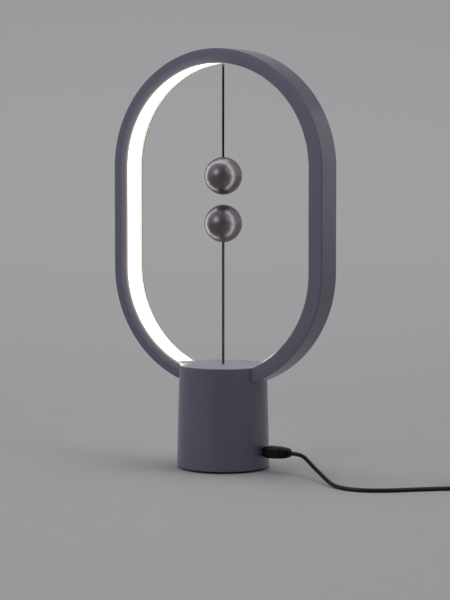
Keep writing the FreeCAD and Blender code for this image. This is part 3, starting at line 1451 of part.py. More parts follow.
def large_plug(place, heading):
    """Plug for the power supply: grip and metal shell, lying on the table."""
    angle = math.degrees(math.atan2(heading[1], heading[0]))
    half_height = size.host_height / 2
    half_width = size.host_width / 2
    turn_z = FreeCAD.Rotation(ALONG_Z, angle)

    def lay(item):
        """Swing a piece that is built along X about the cable's end."""
        base = FreeCAD.Vector(place[0], place[1], 0)
        offset = turn_z.multVec(item.Placement.Base)
        item.Placement = FreeCAD.Placement(base + offset, turn_z)
        return item

    grip_block = doc.addObject("Part::Box", "host_grip_block")
    bind(grip_block, "Length", size.host_length)
    bind(grip_block, "Width", size.host_width)
    bind(grip_block, "Height", size.host_height)
    doc.recompute()
    grip_block.Placement.Base = FreeCAD.Vector(0, -half_width.number, 0)
    grip = doc.addObject("Part::Fillet", "host_plug_grip")
    grip.Base = grip_block
    doc.recompute()
    rounding = half_height.number / 2
    grip.Edges = [
        (number, rounding, rounding) for number, edge in enumerate(grip_block.Shape.Edges, 1)
        if edge.BoundBox.XLength > size.host_length.number / 2
    ]
    lay(grip)
    keep(grip, "host_plug_grip")

    wall = size.socket_wall
    shell_half = size.host_shell_width / 2
    shell_low = half_height - size.host_shell_height / 2
    shell_high = half_height + size.host_shell_height / 2
    start = size.host_length
    end = start + size.host_shell_length
    outside = box("host_shell_outside", (start, -shell_half, shell_low),
                  (end, shell_half, shell_high))
    inside = box("host_shell_inside", (start + wall, -shell_half + wall, shell_low + wall),
                 (end + PAST, shell_half - wall, shell_high - wall))
    shell = cut("host_plug_shell", outside, inside)
    keep(lay(shell), "host_plug_shell")
    half_groove = size.contact_width / 2
    tongue_low = half_height + size.screw_fit
    tongue = box("host_tongue_block",
                 (start + wall, -shell_half + wall * 2, tongue_low),
                 (end - wall, shell_half - wall * 2, shell_high - wall - size.screw_fit))
    contacts = [
        box("contact_groove", (end - size.contact_length, y - half_groove, tongue_low - PAST),
            (end, y + half_groove, tongue_low + size.contact_depth))
        for y in (-size.contact_outer, -size.contact_inner, size.contact_inner,
                  size.contact_outer)
    ]
    keep(lay(cut("host_tongue_grooved", tongue, *contacts)), "host_plug_tongue")


# ---------------------------------------------------------------- build and write

ring_housing()
ring_front_cover()
light_diffuser()
led_strip()
led_chips()
upper_eyelet()
cord_bridge()
upper_hanger_pin()
upper_pendulum()
lower_pendulum()
base_shell()
slot_cover()
cord_guide_tube()
ring_saddle()
base_screws()
base_plate()
foot_pad()
ballast_weight()
control_board()
power_socket()
switch_bracket()
plunger_bush()
switch_plunger()
return_spring()
microswitch()
light_wires()
switch_wires()
small_plug()
power_cable()

doc.recompute()

for item in doc.Objects:
    if "Invalid" in item.State or "Error" in item.State:
        raise RuntimeError(f"{item.Label} failed: {item.State}")

for item in nodes:
    if item.Shape.isNull() or not item.Shape.isValid() or not item.Shape.Solids:
        raise RuntimeError(f"{item.Label} has no valid solid")
    item.Shape.exportStep(f"parts/{item.Label}.step")

print(len(nodes), "nodes written")
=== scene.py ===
"""Looks of the magnetic balance lamp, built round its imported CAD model."""

import json
import math

import bmesh
import bpy
from bpy.props import FloatProperty, FloatVectorProperty, PointerProperty
from mathutils import Matrix, Vector


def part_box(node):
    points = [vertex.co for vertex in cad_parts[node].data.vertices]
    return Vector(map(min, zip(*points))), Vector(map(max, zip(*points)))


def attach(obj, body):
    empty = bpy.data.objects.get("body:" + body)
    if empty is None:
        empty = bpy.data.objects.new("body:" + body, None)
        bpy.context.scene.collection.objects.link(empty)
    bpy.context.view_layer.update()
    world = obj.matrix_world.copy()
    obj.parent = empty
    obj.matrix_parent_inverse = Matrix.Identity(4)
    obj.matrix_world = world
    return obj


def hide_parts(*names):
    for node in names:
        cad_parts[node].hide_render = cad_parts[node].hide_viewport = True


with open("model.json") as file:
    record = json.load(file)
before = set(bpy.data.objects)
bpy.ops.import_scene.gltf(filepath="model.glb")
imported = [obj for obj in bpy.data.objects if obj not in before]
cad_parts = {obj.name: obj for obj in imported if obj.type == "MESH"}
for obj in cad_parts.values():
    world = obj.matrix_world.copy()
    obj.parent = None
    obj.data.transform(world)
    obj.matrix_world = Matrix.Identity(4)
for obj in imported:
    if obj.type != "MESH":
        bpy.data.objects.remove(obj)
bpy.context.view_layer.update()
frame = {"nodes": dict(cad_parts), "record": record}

bl_info = {
    "name": "Balance lamp looks",
    "version": (1, 0, 0),
    "blender": (4, 5, 0),
    "location": "3D View > Sidebar > Lamp",
    "description": "Finishes, cords and stage of a magnetic balance lamp",
    "category": "Object",
}

MM = 0.001
X_AXIS = Vector((1, 0, 0))
Y_AXIS = Vector((0, 1, 0))
Z_AXIS = Vector((0, 0, 1))


def low(node):
    """Lowest corner of a node's box."""
    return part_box(node)[0]


def high(node):
    """Highest corner of a node's box."""
    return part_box(node)[1]


RING_RADIUS = high("ring_housing").x
RING_TOP = high("ring_housing").z
RING_FRONT = low("ring_front_cover").y
RIM_WIDTH = 14.5 * MM
INNER_ROUND = 2.0 * MM
FRONT_ROUND = 0.75 * MM
SEAM_CUT = 0.5 * MM
LOW_CENTRE = low("ring_housing").z + RING_RADIUS
HIGH_CENTRE = RING_TOP - RING_RADIUS
BASE_TOP = high("base_shell").z
PORT = (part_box("plug_shell")[0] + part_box("plug_shell")[1]) / 2
PLUG_START = low("plug_grip").x
PLUG_END = high("plug_grip").x
RELIEF_END = high("plug_strain_relief").x


# ---------------------------------------------------------------- settings

class LampColours(bpy.types.PropertyGroup):
    """Colours that a user may change."""

    shell: FloatVectorProperty(
        name="Shell", description="Satin plastic of the ring and the base",
        subtype="COLOR", default=(0.080, 0.079, 0.116))
    balls: FloatVectorProperty(
        name="Balls", description="Metallic lacquer of the two balls",
        subtype="COLOR", default=(0.122, 0.111, 0.132))
    glow: FloatVectorProperty(
        name="Glow", description="Light of the ring",
        subtype="COLOR", default=(1.0, 0.90, 0.78))
    glow_edge: FloatVectorProperty(
        name="Glow edge", description="Light at the edges of the milky strip",
        subtype="COLOR", default=(1.0, 0.84, 0.70))
    thread: FloatVectorProperty(
        name="Thread", description="Twisted cord of the upper ball",
        subtype="COLOR", default=(0.003, 0.0024, 0.0024))
    lower_thread: FloatVectorProperty(
        name="Lower thread", description="Twisted cord of the lower ball",
        subtype="COLOR", default=(0.046, 0.046, 0.049))
    cable: FloatVectorProperty(
        name="Cable", description="Jacket of the power cable and its plugs",
        subtype="COLOR", default=(0.0028, 0.0026, 0.0036))


class LampSizes(bpy.types.PropertyGroup):
    """Sizes that a user may change."""

    cable_diameter: FloatProperty(
        name="Cable diameter", description="Thickness of the power cable",
        subtype="DISTANCE", default=3.8 * MM)
    cable_length: FloatProperty(
        name="Cable length", description="Power cable from plug to plug",
        subtype="DISTANCE", default=1.4)
    upper_cord: FloatProperty(
        name="Upper cord", description="Thickness of the upper cord",
        subtype="DISTANCE", default=2.2 * MM)
    lower_cord: FloatProperty(
        name="Lower cord", description="Thickness of the lower cord",
        subtype="DISTANCE", default=2.6 * MM)
    cord_hole: FloatProperty(
        name="Cord hole", description="Room round a cord where it enters its ball",
        subtype="DISTANCE", default=0.35 * MM)
    twist: FloatProperty(
        name="Twist", description="Length of one turn of the cords' strands",
        subtype="DISTANCE", default=5.4 * MM)


class LampStage(bpy.types.PropertyGroup):
    """Camera, floor and light."""

    floor: FloatVectorProperty(
        name="Floor", description="Floor under the lamp",
        subtype="COLOR", default=(0.338, 0.338, 0.338))
    backdrop: FloatVectorProperty(
        name="Backdrop", description="Backdrop over the floor",
        subtype="COLOR", default=(0.800, 0.800, 0.800))
    distance: FloatProperty(
        name="Distance", description="Camera from the lamp's axis",
        subtype="DISTANCE", default=2.001)
    azimuth: FloatProperty(
        name="Azimuth", description="Camera round the lamp, from the front to the right",
        subtype="ANGLE", default=math.radians(29.739))
    height: FloatProperty(
        name="Height", description="Camera over the table", subtype="DISTANCE", default=0.325)
    pitch: FloatProperty(
        name="Pitch", description="Camera looking down",
        subtype="ANGLE", default=math.radians(3.604))
    glow: FloatProperty(
        name="Glow", description="Brightness of the milky strip", default=7.0)


# ---------------------------------------------------------------- materials

def calculator(nodes, links):
    """A function that adds a Math node and gives its result."""
    def calc(operation, first, second=None, third=None):
        node = nodes.new("ShaderNodeMath")
        node.operation = operation
        for socket, value in zip(node.inputs, (first, second, third)):
            if isinstance(value, (int, float)):
                socket.default_value = value
            elif value is not None:
                links.new(value, socket)
        return node.outputs["Value"]
    return calc


def ramp(nodes, links, value, start, end, low_value=0.0, high_value=1.0):
    """Smooth step of a value between two places, which may run downwards."""
    node = nodes.new("ShaderNodeMapRange")
    node.interpolation_type = "SMOOTHSTEP"
    if start > end:
        start, end, low_value, high_value = end, start, high_value, low_value
    for socket, number in (("From Min", start), ("From Max", end),
                           ("To Min", low_value), ("To Max", high_value)):
        node.inputs[socket].default_value = number
    links.new(value, node.inputs["Value"])
    return node.outputs["Result"]


def object_axes(nodes, links):
    """X, Y and Z of a surface point in its object's own frame."""
    place = nodes.new("ShaderNodeTexCoord")
    split = nodes.new("ShaderNodeSeparateXYZ")
    links.new(place.outputs["Object"], split.inputs["Vector"])
    return [split.outputs[axis] for axis in "XYZ"]


def oval_place(calc, z):
    """Height of the nearest point on the ring's middle line, and the rise over it."""
    centre = calc("MINIMUM", calc("MAXIMUM", z, LOW_CENTRE), HIGH_CENTRE)
    return centre, calc("SUBTRACT", z, centre)


def new_material(name, colour, roughness, metallic=0.0, bump=0.05, grain=1500.0, tone=0.06):
    """A Principled material with cloudy tone, uneven gloss and a fine moulded grain."""
    material = bpy.data.materials.new(name)
    material.use_nodes = True
    nodes = material.node_tree.nodes
    links = material.node_tree.links
    shader = nodes["Principled BSDF"]
    shader.inputs["Metallic"].default_value = metallic
    place = nodes.new("ShaderNodeTexCoord")

    clouds = nodes.new("ShaderNodeTexNoise")
    clouds.inputs["Scale"].default_value = 38.0
    clouds.inputs["Detail"].default_value = 4.0
    links.new(place.outputs["Object"], clouds.inputs["Vector"])
    shade = nodes.new("ShaderNodeMix")
    shade.data_type = "RGBA"
    shade.inputs["A"].default_value = (*[part * (1 - tone) for part in colour], 1)
    shade.inputs["B"].default_value = (*[min(1, part * (1 + tone)) for part in colour], 1)
    links.new(clouds.outputs["Fac"], shade.inputs["Factor"])
    links.new(shade.outputs["Result"], shader.inputs["Base Color"])

    gloss = nodes.new("ShaderNodeMapRange")
    gloss.inputs["To Min"].default_value = roughness * 0.88
    gloss.inputs["To Max"].default_value = min(1, roughness * 1.12)
    links.new(clouds.outputs["Fac"], gloss.inputs["Value"])
    links.new(gloss.outputs["Result"], shader.inputs["Roughness"])

    pits = nodes.new("ShaderNodeTexNoise")
    pits.name = "pits"
    pits.inputs["Scale"].default_value = grain
    pits.inputs["Detail"].default_value = 2.0
    links.new(place.outputs["Object"], pits.inputs["Vector"])
    relief = nodes.new("ShaderNodeBump")
    relief.name = "relief"
    relief.inputs["Strength"].default_value = bump
    relief.inputs["Distance"].default_value = 0.1 * MM
    links.new(pits.outputs["Fac"], relief.inputs["Height"])
    links.new(relief.outputs["Normal"], shader.inputs["Normal"])
    return material


def shell_paint(painted_light_gain=1.0):
    """Satin slate plastic with a clear sheen, as it is or made a little lighter as painted light.
    """
    colour = [part * painted_light_gain for part in bpy.context.scene.lamp_colours.shell]
    material = new_material("satin_slate_plastic", colour, 0.46, bump=0.12, grain=1700.0,
                            tone=0.05)
    shader = material.node_tree.nodes["Principled BSDF"]
    shader.inputs["Coat Weight"].default_value = 0.6
    shader.inputs["Coat Roughness"].default_value = 0.15
    shader.inputs["Sheen Weight"].default_value = 0.38
    shader.inputs["Sheen Roughness"].default_value = 0.24
    shader.inputs["Sheen Tint"].default_value = (0.78, 0.76, 1.0, 1)
    shader.inputs["Specular Tint"].default_value = (0.86, 0.84, 1.0, 1)
    return material


def base_paint():
    """The shell's paint, matt on the base's flat top."""
    material = shell_paint()
    material.name = "satin_slate_base"
    nodes = material.node_tree.nodes
    links = material.node_tree.links
    shader = nodes["Principled BSDF"]
    calc = calculator(nodes, links)
    matt = 0.60
    coat = shader.inputs["Coat Weight"].default_value
    coat_lost = 0.1
    z = object_axes(nodes, links)[2]
    top = ramp(nodes, links, z, BASE_TOP - 0.5 * MM, BASE_TOP - 0.2 * MM)
    gloss = shader.inputs["Roughness"].links[0].from_socket
    links.new(calc("MAXIMUM", gloss, calc("MULTIPLY", top, matt)), shader.inputs["Roughness"])
    links.new(calc("MULTIPLY_ADD", top, -coat_lost, coat), shader.inputs["Coat Weight"])
    return material


def cover_paint_and_painted_glow():
    """The shell's paint made lighter as painted light, with painted glow and painted highlights on
    its rounded inner rim where it picks up the strip's light.
    """
    # painted light: the front plate gets a lighter copy of the shell's own colour
    painted_light_gain = 1.24
    rim_light = (1.0, 0.82, 0.74, 1)
    soft_power = 0.38
    halo_power = 0.070
    halo_width = 10 * MM
    hard_power = 2.2
    spill_power = 3.6
    material = shell_paint(painted_light_gain)
    material.name = "satin_slate_lit_rim"
    nodes = material.node_tree.nodes
    links = material.node_tree.links
    shader = nodes["Principled BSDF"]
    shader.inputs["Emission Color"].default_value = rim_light
    calc = calculator(nodes, links)
    x, y, z = object_axes(nodes, links)
    rise = oval_place(calc, z)[1]
    reach = calc("SQRT", calc("MULTIPLY_ADD", rise, rise, calc("MULTIPLY", x, x)))
    inner = RING_RADIUS - RIM_WIDTH
    # turn: 0 on the flat front, 1 at the end of the rounding
    turn = calc("DIVIDE", calc("SUBTRACT", y, RING_FRONT), INNER_ROUND)
    turn = calc("MINIMUM", calc("MAXIMUM", turn, 0.0), 1.0)
    # painted light: the left arm's rim has a painted glow, and a painted halo on the flat beside
    # it
    left = ramp(nodes, links, x, 30 * MM, -30 * MM)
    soft = calc("MULTIPLY", calc("POWER", turn, 0.5), calc("MULTIPLY", left, soft_power))
    halo = ramp(nodes, links, reach, inner + halo_width, inner, 0.0, halo_power)
    soft = calc("MULTIPLY_ADD", halo, left, soft)
    # painted highlight along the end of the rounding, where the lit strip would be reflected
    hard = calc("MULTIPLY", calc("POWER", turn, 4.0), hard_power)
    # painted light: low on the right arm a painted highlight spills over the edge
    spill = calc("MULTIPLY", ramp(nodes, links, z, BASE_TOP + 20 * MM, BASE_TOP + 13 * MM),
                 ramp(nodes, links, z, BASE_TOP + 4 * MM, BASE_TOP + 8 * MM))
    spill = calc("MULTIPLY", spill, ramp(nodes, links, x, 30 * MM, 40 * MM, 0.0, spill_power))
    hard = calc("MULTIPLY_ADD", spill, calc("POWER", turn, 1.6), hard)
    inside = calc("LESS_THAN", reach, inner + RIM_WIDTH / 2)
    power = calc("MULTIPLY", calc("ADD", soft, hard), inside)
    links.new(power, shader.inputs["Emission Strength"])
    return material


def ball_lacquer():
    """Metallic lacquer with fine sparkling flakes."""
    colour = bpy.context.scene.lamp_colours.balls
    material = new_material("metallic_lacquer", colour, 0.36, metallic=0.85, bump=0.04,
                            grain=5200.0, tone=0.10)
    shader = material.node_tree.nodes["Principled BSDF"]
    shader.inputs["Coat Weight"].default_value = 0.30
    shader.inputs["Coat Roughness"].default_value = 0.22
    return material


def glow_material():
    """Milky strip: white hot, dimmer and warmer at the back, a little brighter at each chip."""
    scene = bpy.context.scene
    chip_pitch = 10 * MM
    chip_gain = 0.10
    fade_width = 17 * MM
    fade_loss = 0.78
    rear_drop = 0.10
    unlit_milk = (0.30, 0.29, 0.33, 1)
    lit_milk = (0.85, 0.84, 0.82, 1)
    material = bpy.data.materials.new("glowing_diffuser")
    material.use_nodes = True
    nodes = material.node_tree.nodes
    links = material.node_tree.links
    shader = nodes["Principled BSDF"]
    shader.inputs["Roughness"].default_value = 0.35
    calc = calculator(nodes, links)
    x, y, z = object_axes(nodes, links)
    centre, rise = oval_place(calc, z)
    angle = calc("ARCTAN2", rise, calc("ABSOLUTE", x))
    along = calc("MULTIPLY_ADD", angle, RING_RADIUS, centre)
    wave = calc("COSINE", calc("MULTIPLY", along, math.tau / chip_pitch))
    spots = calc("MULTIPLY_ADD", wave, chip_gain, 1.0)

    back = high("light_diffuser").y
    edge = ramp(nodes, links, y, back - fade_width, back)
    tint = nodes.new("ShaderNodeMix")
    tint.data_type = "RGBA"
    tint.inputs["A"].default_value = (*scene.lamp_colours.glow, 1)
    tint.inputs["B"].default_value = (*scene.lamp_colours.glow_edge, 1)
    links.new(edge, tint.inputs["Factor"])
    links.new(tint.outputs["Result"], shader.inputs["Emission Color"])
    fade = calc("POWER", calc("MULTIPLY_ADD", edge, -fade_loss, 1.0), 2.0)

    # no light from the part that the base hides
    level = calc("MULTIPLY_ADD", y, rear_drop, z)
    above = ramp(nodes, links, level, BASE_TOP + 0.6 * MM, BASE_TOP + 2.2 * MM)
    # painted shade: where the strip is dark, the milk's own white is swapped for a darker copy
    milk = nodes.new("ShaderNodeMix")
    milk.data_type = "RGBA"
    milk.inputs["A"].default_value = unlit_milk
    milk.inputs["B"].default_value = lit_milk
    links.new(above, milk.inputs["Factor"])
    links.new(milk.outputs["Result"], shader.inputs["Base Color"])
    power = calc("MULTIPLY", spots, calc("MULTIPLY", fade, above))
    power = calc("MULTIPLY", power, scene.lamp_stage.glow)
    links.new(power, shader.inputs["Emission Strength"])
    return material


def thread_material(name, colour):
    """Twisted thread: matt, with a fibre grain."""
    material = new_material(name, colour, 0.9, bump=0.35, grain=3800.0, tone=0.45)
    shader = material.node_tree.nodes["Principled BSDF"]
    shader.inputs["Specular IOR Level"].default_value = 0.08
    return material


def cable_jacket():
    """Black jacket of the power cable."""
    colour = bpy.context.scene.lamp_colours.cable
    material = new_material("black_cable_jacket", colour, 0.36, bump=0.10, grain=2600.0, tone=0.15)
    shader = material.node_tree.nodes["Principled BSDF"]
    shader.inputs["Specular IOR Level"].default_value = 0.30
    return material


def moulded_black():
    """Black plastic moulded round the cable's ends."""
    colour = bpy.context.scene.lamp_colours.cable
    material = new_material("black_moulded_plug", colour, 0.34, bump=0.16, grain=2200.0, tone=0.15)
    shader = material.node_tree.nodes["Principled BSDF"]
    shader.inputs["Specular IOR Level"].default_value = 0.22
    return material


def foot_rubber():
    """Dark rubber under the base."""
    return new_material("foot_rubber", (0.012, 0.012, 0.014), 0.72, bump=0.3, grain=900.0,
                        tone=0.2)


# slot: colour, roughness, metallic
INNER_FINISHES = {
    "inner_plastic": ((0.55, 0.55, 0.53), 0.5, 0.0),
    "plunger_plastic": ((0.70, 0.68, 0.62), 0.42, 0.0),
    "dark_plastic": ((0.012, 0.012, 0.014), 0.45, 0.0),
    "connector_plastic": ((0.68, 0.66, 0.60), 0.45, 0.0),
    "component_plastic": ((0.015, 0.015, 0.017), 0.5, 0.0),
    "circuit_board": ((0.010, 0.085, 0.030), 0.35, 0.0),
    "strip_board": ((0.80, 0.80, 0.78), 0.4, 0.0),
    "light_chip": ((0.85, 0.62, 0.12), 0.35, 0.0),
    "ballast_iron": ((0.10, 0.10, 0.105), 0.7, 0.6),
    "bracket_steel": ((0.48, 0.49, 0.50), 0.36, 1.0),
    "spring_steel": ((0.52, 0.52, 0.53), 0.28, 1.0),
    "screw_steel": ((0.50, 0.50, 0.51), 0.33, 1.0),
    "socket_metal": ((0.62, 0.62, 0.63), 0.22, 1.0),
    "magnet_metal": ((0.60, 0.60, 0.61), 0.18, 1.0),
    "eyelet_metal": ((0.20, 0.195, 0.20), 0.35, 1.0),
    "bead_metal": ((0.030, 0.029, 0.031), 0.5, 0.6),
    "wire_jacket": ((0.35, 0.02, 0.015), 0.42, 0.0),
}


def woven_band():
    """Hook-and-loop band: black, with a coarse weave."""
    material = new_material("woven_band", (0.012, 0.012, 0.013), 0.9, bump=0.6, grain=1400.0,
                            tone=0.4)
    material.node_tree.nodes["Principled BSDF"].inputs["Sheen Weight"].default_value = 0.3
    return material


# ---------------------------------------------------------------- mesh helpers

def as_piece(name, work, material, body, replaced):
    """Turn a bmesh into a piece that rides on a body and stands for CAD nodes."""
    mesh = bpy.data.meshes.new(name)
    work.to_mesh(mesh)
    work.free()
    mesh.materials.append(material)
    mesh.shade_smooth()
    mesh.set_sharp_from_angle(angle=math.radians(35))
    piece = bpy.data.objects.new(name, mesh)
    bpy.context.scene.collection.objects.link(piece)
    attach(piece, body)
    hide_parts(*replaced)
    return piece


def outline(work, points, closed=True):
    """Edges through a few points."""
    spots = [work.verts.new(point) for point in points]
    pairs = list(zip(spots, spots[1:]))
    if closed:
        pairs.append((spots[-1], spots[0]))
    return [work.edges.new(pair) for pair in pairs]


def extruded(work, edges, way):
    """Extrude edges and move the new ones. Returns their points and the edges."""
    made = bmesh.ops.extrude_edge_only(work, edges=edges)["geom"]
    verts = [item for item in made if isinstance(item, bmesh.types.BMVert)]
    bmesh.ops.translate(work, verts=verts, vec=way)
    edges = [item for item in made if isinstance(item, bmesh.types.BMEdge)
             and all(vert in verts for vert in item.verts)]
    return verts, edges


def merged(work):
    """Join doubles and turn all faces outwards."""
    bmesh.ops.remove_doubles(work, verts=work.verts, dist=0.002 * MM)
    bmesh.ops.recalc_face_normals(work, faces=work.faces)
    return work


def turned(profile, steps):
    """A solid of revolution from a closed profile, turned round the lamp's upright axis."""
    work = bmesh.new()
    edges = outline(work, profile)
    bmesh.ops.spin(work, geom=[*work.verts, *edges], cent=Vector(), axis=Z_AXIS,
                   angle=math.tau, steps=steps, use_merge=True)
    return merged(work)


def oval_sweep(section, steps=112):
    """A section of (inset, y) pairs taken once round the ring's oval."""
    work = bmesh.new()
    edges = outline(work, [(RING_RADIUS - inset, y, LOW_CENTRE) for inset, y in section])
    geometry = [*work.verts, *edges]
    straight = Z_AXIS * (HIGH_CENTRE - LOW_CENTRE)

    def swing(geometry, height):
        made = bmesh.ops.spin(work, geom=geometry, cent=Vector((0, 0, height)), axis=Y_AXIS,
                              angle=math.pi, steps=steps)
        return made["geom_last"]

    def slide(geometry, way):
        edges = [item for item in geometry if isinstance(item, bmesh.types.BMEdge)]
        verts, edges = extruded(work, edges, way)
        return [*verts, *edges]

    geometry = swing(geometry, LOW_CENTRE)
    geometry = slide(geometry, straight)
    geometry = swing(geometry, HIGH_CENTRE)
    slide(geometry, -straight)
    return merged(work)


def rounded_rectangle(width, height, corner, steps=5):
    """Points (across, up) round a rectangle with round corners."""
    points = []
    quarters = ((1, 1, 0), (-1, 1, 1), (-1, -1, 2), (1, -1, 3))
    for side, end, quarter in quarters:
        for step in range(steps + 1):
            angle = (quarter + step / steps) * math.pi / 2
            points.append((side * (width / 2 - corner) + corner * math.cos(angle),
                           end * (height / 2 - corner) + corner * math.sin(angle)))
    return points


def lofted(stations, corner, middle):
    """A closed body along X through sections, each a place, a width and a height."""
    work = bmesh.new()
    place, width, height = stations[0]
    section = rounded_rectangle(width, height, corner)
    edges = outline(work, [(place, middle.y + y, middle.z + z) for y, z in section])
    for next_place, next_width, next_height in stations[1:]:
        verts, edges = extruded(work, edges, (next_place - place, 0, 0))
        centre = Matrix.Translation((-next_place, -middle.y, -middle.z))
        bmesh.ops.scale(work, verts=verts, space=centre,
                        vec=(1, next_width / width, next_height / height))
        place, width, height = next_place, next_width, next_height
    bmesh.ops.holes_fill(work, edges=work.edges, sides=0)
    return merged(work)


def twisted(radius, bottom, top, pitch, strands=3):
    """A cord of twisted strands that stands upright."""
    work = bmesh.new()
    around = strands * 8
    steps_per_turn = 14
    core = 0.86
    points = []
    for index in range(around):
        angle = index / around * math.tau
        groove = abs(math.sin(angle * strands / 2)) ** 0.5
        reach = radius * (core + (1 - core) * groove)
        points.append((reach * math.cos(angle), reach * math.sin(angle), bottom))
    edges = outline(work, points)
    steps = max(2, round((top - bottom) / pitch * steps_per_turn))
    bmesh.ops.spin(work, geom=[*work.verts, *edges], cent=Vector(), axis=Z_AXIS,
                   dvec=Z_AXIS * ((top - bottom) / steps),
                   angle=(top - bottom) / pitch * math.tau, steps=steps)
    bmesh.ops.holes_fill(work, edges=work.edges, sides=0)
    return merged(work)


# ---------------------------------------------------------------- pieces

class LAMP_OT_stage(bpy.types.Operator):
    """Camera, floor with a curved backdrop, and soft studio light"""

    bl_idname = "lamp.stage"
    bl_label = "Stage"

    # name, place, size, watts, whether it lights matt surfaces
    soft_boxes = (
        ("soft_left", (-0.75, -2.3, 1.35), 1.0, 15, True),
        ("soft_right", (2.0, -0.4, 1.5), 1.0, 1.6, True),
        ("soft_right_gloss", (2.0, -0.4, 1.5), 1.4, 14, False),
        ("soft_top", (-0.3, 0.5, 2.7), 1.6, 20, True),
    )

    def execute(self, context):
        stage = context.scene.lamp_stage
        self.camera(context, stage)
        self.floor(stage)
        self.lights(context, stage)
        context.scene.view_settings.view_transform = "Standard"
        return {"FINISHED"}

    def camera(self, context, stage):
        focal_pixels = 2101.6
        long_side = 600
        short_side = 450
        axis_pixel = (223.195, 260.0)
        data = bpy.data.cameras.new("camera")
        data.sensor_width = 36
        data.lens = focal_pixels / long_side * data.sensor_width
        data.shift_x = (short_side / 2 - axis_pixel[0]) / long_side
        data.shift_y = (axis_pixel[1] - long_side / 2) / long_side
        data.clip_end = 20
        camera = bpy.data.objects.new("camera", data)
        context.scene.collection.objects.link(camera)
        camera.location = (math.sin(stage.azimuth) * stage.distance,
                           -math.cos(stage.azimuth) * stage.distance, stage.height)
        camera.rotation_euler = (math.pi / 2 - stage.pitch, 0, stage.azimuth)
        context.scene.camera = camera

    def floor(self, stage):
        """A sheet that runs from the floor up into the backdrop, square to the camera."""
        work = bmesh.new()
        width = 8.0
        front = 4.0
        back = 2.6
        curve = 1.2
        wall = 4.0
        corners = [(-width / 2, -front, 0), (width / 2, -front, 0)]
        front_edge = outline(work, corners, closed=False)
        verts, edges = extruded(work, front_edge, (0, front + back, 0))
        made = bmesh.ops.spin(work, geom=[*verts, *edges], cent=(0, back, curve), axis=X_AXIS,
                              angle=math.pi / 2, steps=24)
        edges = [item for item in made["geom_last"] if isinstance(item, bmesh.types.BMEdge)]
        extruded(work, edges, (0, 0, wall))
        bmesh.ops.rotate(work, verts=work.verts, cent=Vector(),
                         matrix=Matrix.Rotation(stage.azimuth, 3, "Z"))
        merged(work)
        mesh = bpy.data.meshes.new("floor")
        work.to_mesh(mesh)
        work.free()
        mesh.shade_smooth()
        mesh.materials.append(self.paper(stage))
        floor = bpy.data.objects.new("floor", mesh)
        bpy.context.scene.collection.objects.link(floor)

    def paper(self, stage):
        """Matt paper that grows lighter towards the backdrop."""
        dark_until = -0.3
        light_from = 4.8
        material = new_material("floor_paper", stage.floor, 0.85, bump=0.02, grain=300.0,
                                tone=0.01)
        nodes = material.node_tree.nodes
        links = material.node_tree.links
        place = nodes.new("ShaderNodeTexCoord")
        behind = nodes.new("ShaderNodeVectorMath")
        behind.operation = "DOT_PRODUCT"
        behind.inputs[1].default_value = (-math.sin(stage.azimuth), math.cos(stage.azimuth), 0)
        links.new(place.outputs["Object"], behind.inputs[0])
        rise = nodes.new("ShaderNodeMapRange")
        rise.interpolation_type = "SMOOTHSTEP"
        rise.inputs["From Min"].default_value = dark_until
        rise.inputs["From Max"].default_value = light_from
        links.new(behind.outputs["Value"], rise.inputs["Value"])
        tint = nodes.new("ShaderNodeMix")
        tint.data_type = "RGBA"
        tint.inputs["A"].default_value = (*stage.floor, 1)
        tint.inputs["B"].default_value = (*stage.backdrop, 1)
        links.new(rise.outputs["Result"], tint.inputs["Factor"])
        links.new(tint.outputs["Result"], nodes["Principled BSDF"].inputs["Base Color"])
        return material

    def lights(self, context, stage):
        """An even studio that is darker behind the camera, and its soft boxes."""
        even_strength = 0.70
        dark_strength = 0.16
        world = bpy.data.worlds.new("studio")
        world.use_nodes = True
        nodes = world.node_tree.nodes
        links = world.node_tree.links
        sky = nodes["Background"]
        sky.inputs["Color"].default_value = (0.96, 0.97, 1.0, 1)
        way = nodes.new("ShaderNodeTexCoord")
        facing = nodes.new("ShaderNodeVectorMath")
        facing.operation = "DOT_PRODUCT"
        facing.inputs[1].default_value = (math.sin(stage.azimuth), -math.cos(stage.azimuth), 0.1)
        links.new(way.outputs["Generated"], facing.inputs[0])
        level = nodes.new("ShaderNodeMapRange")
        level.interpolation_type = "SMOOTHSTEP"
        level.inputs["From Min"].default_value = 0.10
        level.inputs["To Min"].default_value = even_strength
        level.inputs["To Max"].default_value = dark_strength
        links.new(facing.outputs["Value"], level.inputs["Value"])
        links.new(level.outputs["Result"], sky.inputs["Strength"])
        context.scene.world = world
        target = Vector((0, 0, 0.2))
        for name, place, size, power, matt in self.soft_boxes:
            data = bpy.data.lights.new(name, "AREA")
            data.size = size
            data.energy = power
            lamp = bpy.data.objects.new(name, data)
            context.scene.collection.objects.link(lamp)
            lamp.location = place
            lamp.visible_diffuse = matt
            aim = target - Vector(place)
            lamp.rotation_euler = aim.to_track_quat("-Z", "Y").to_euler()


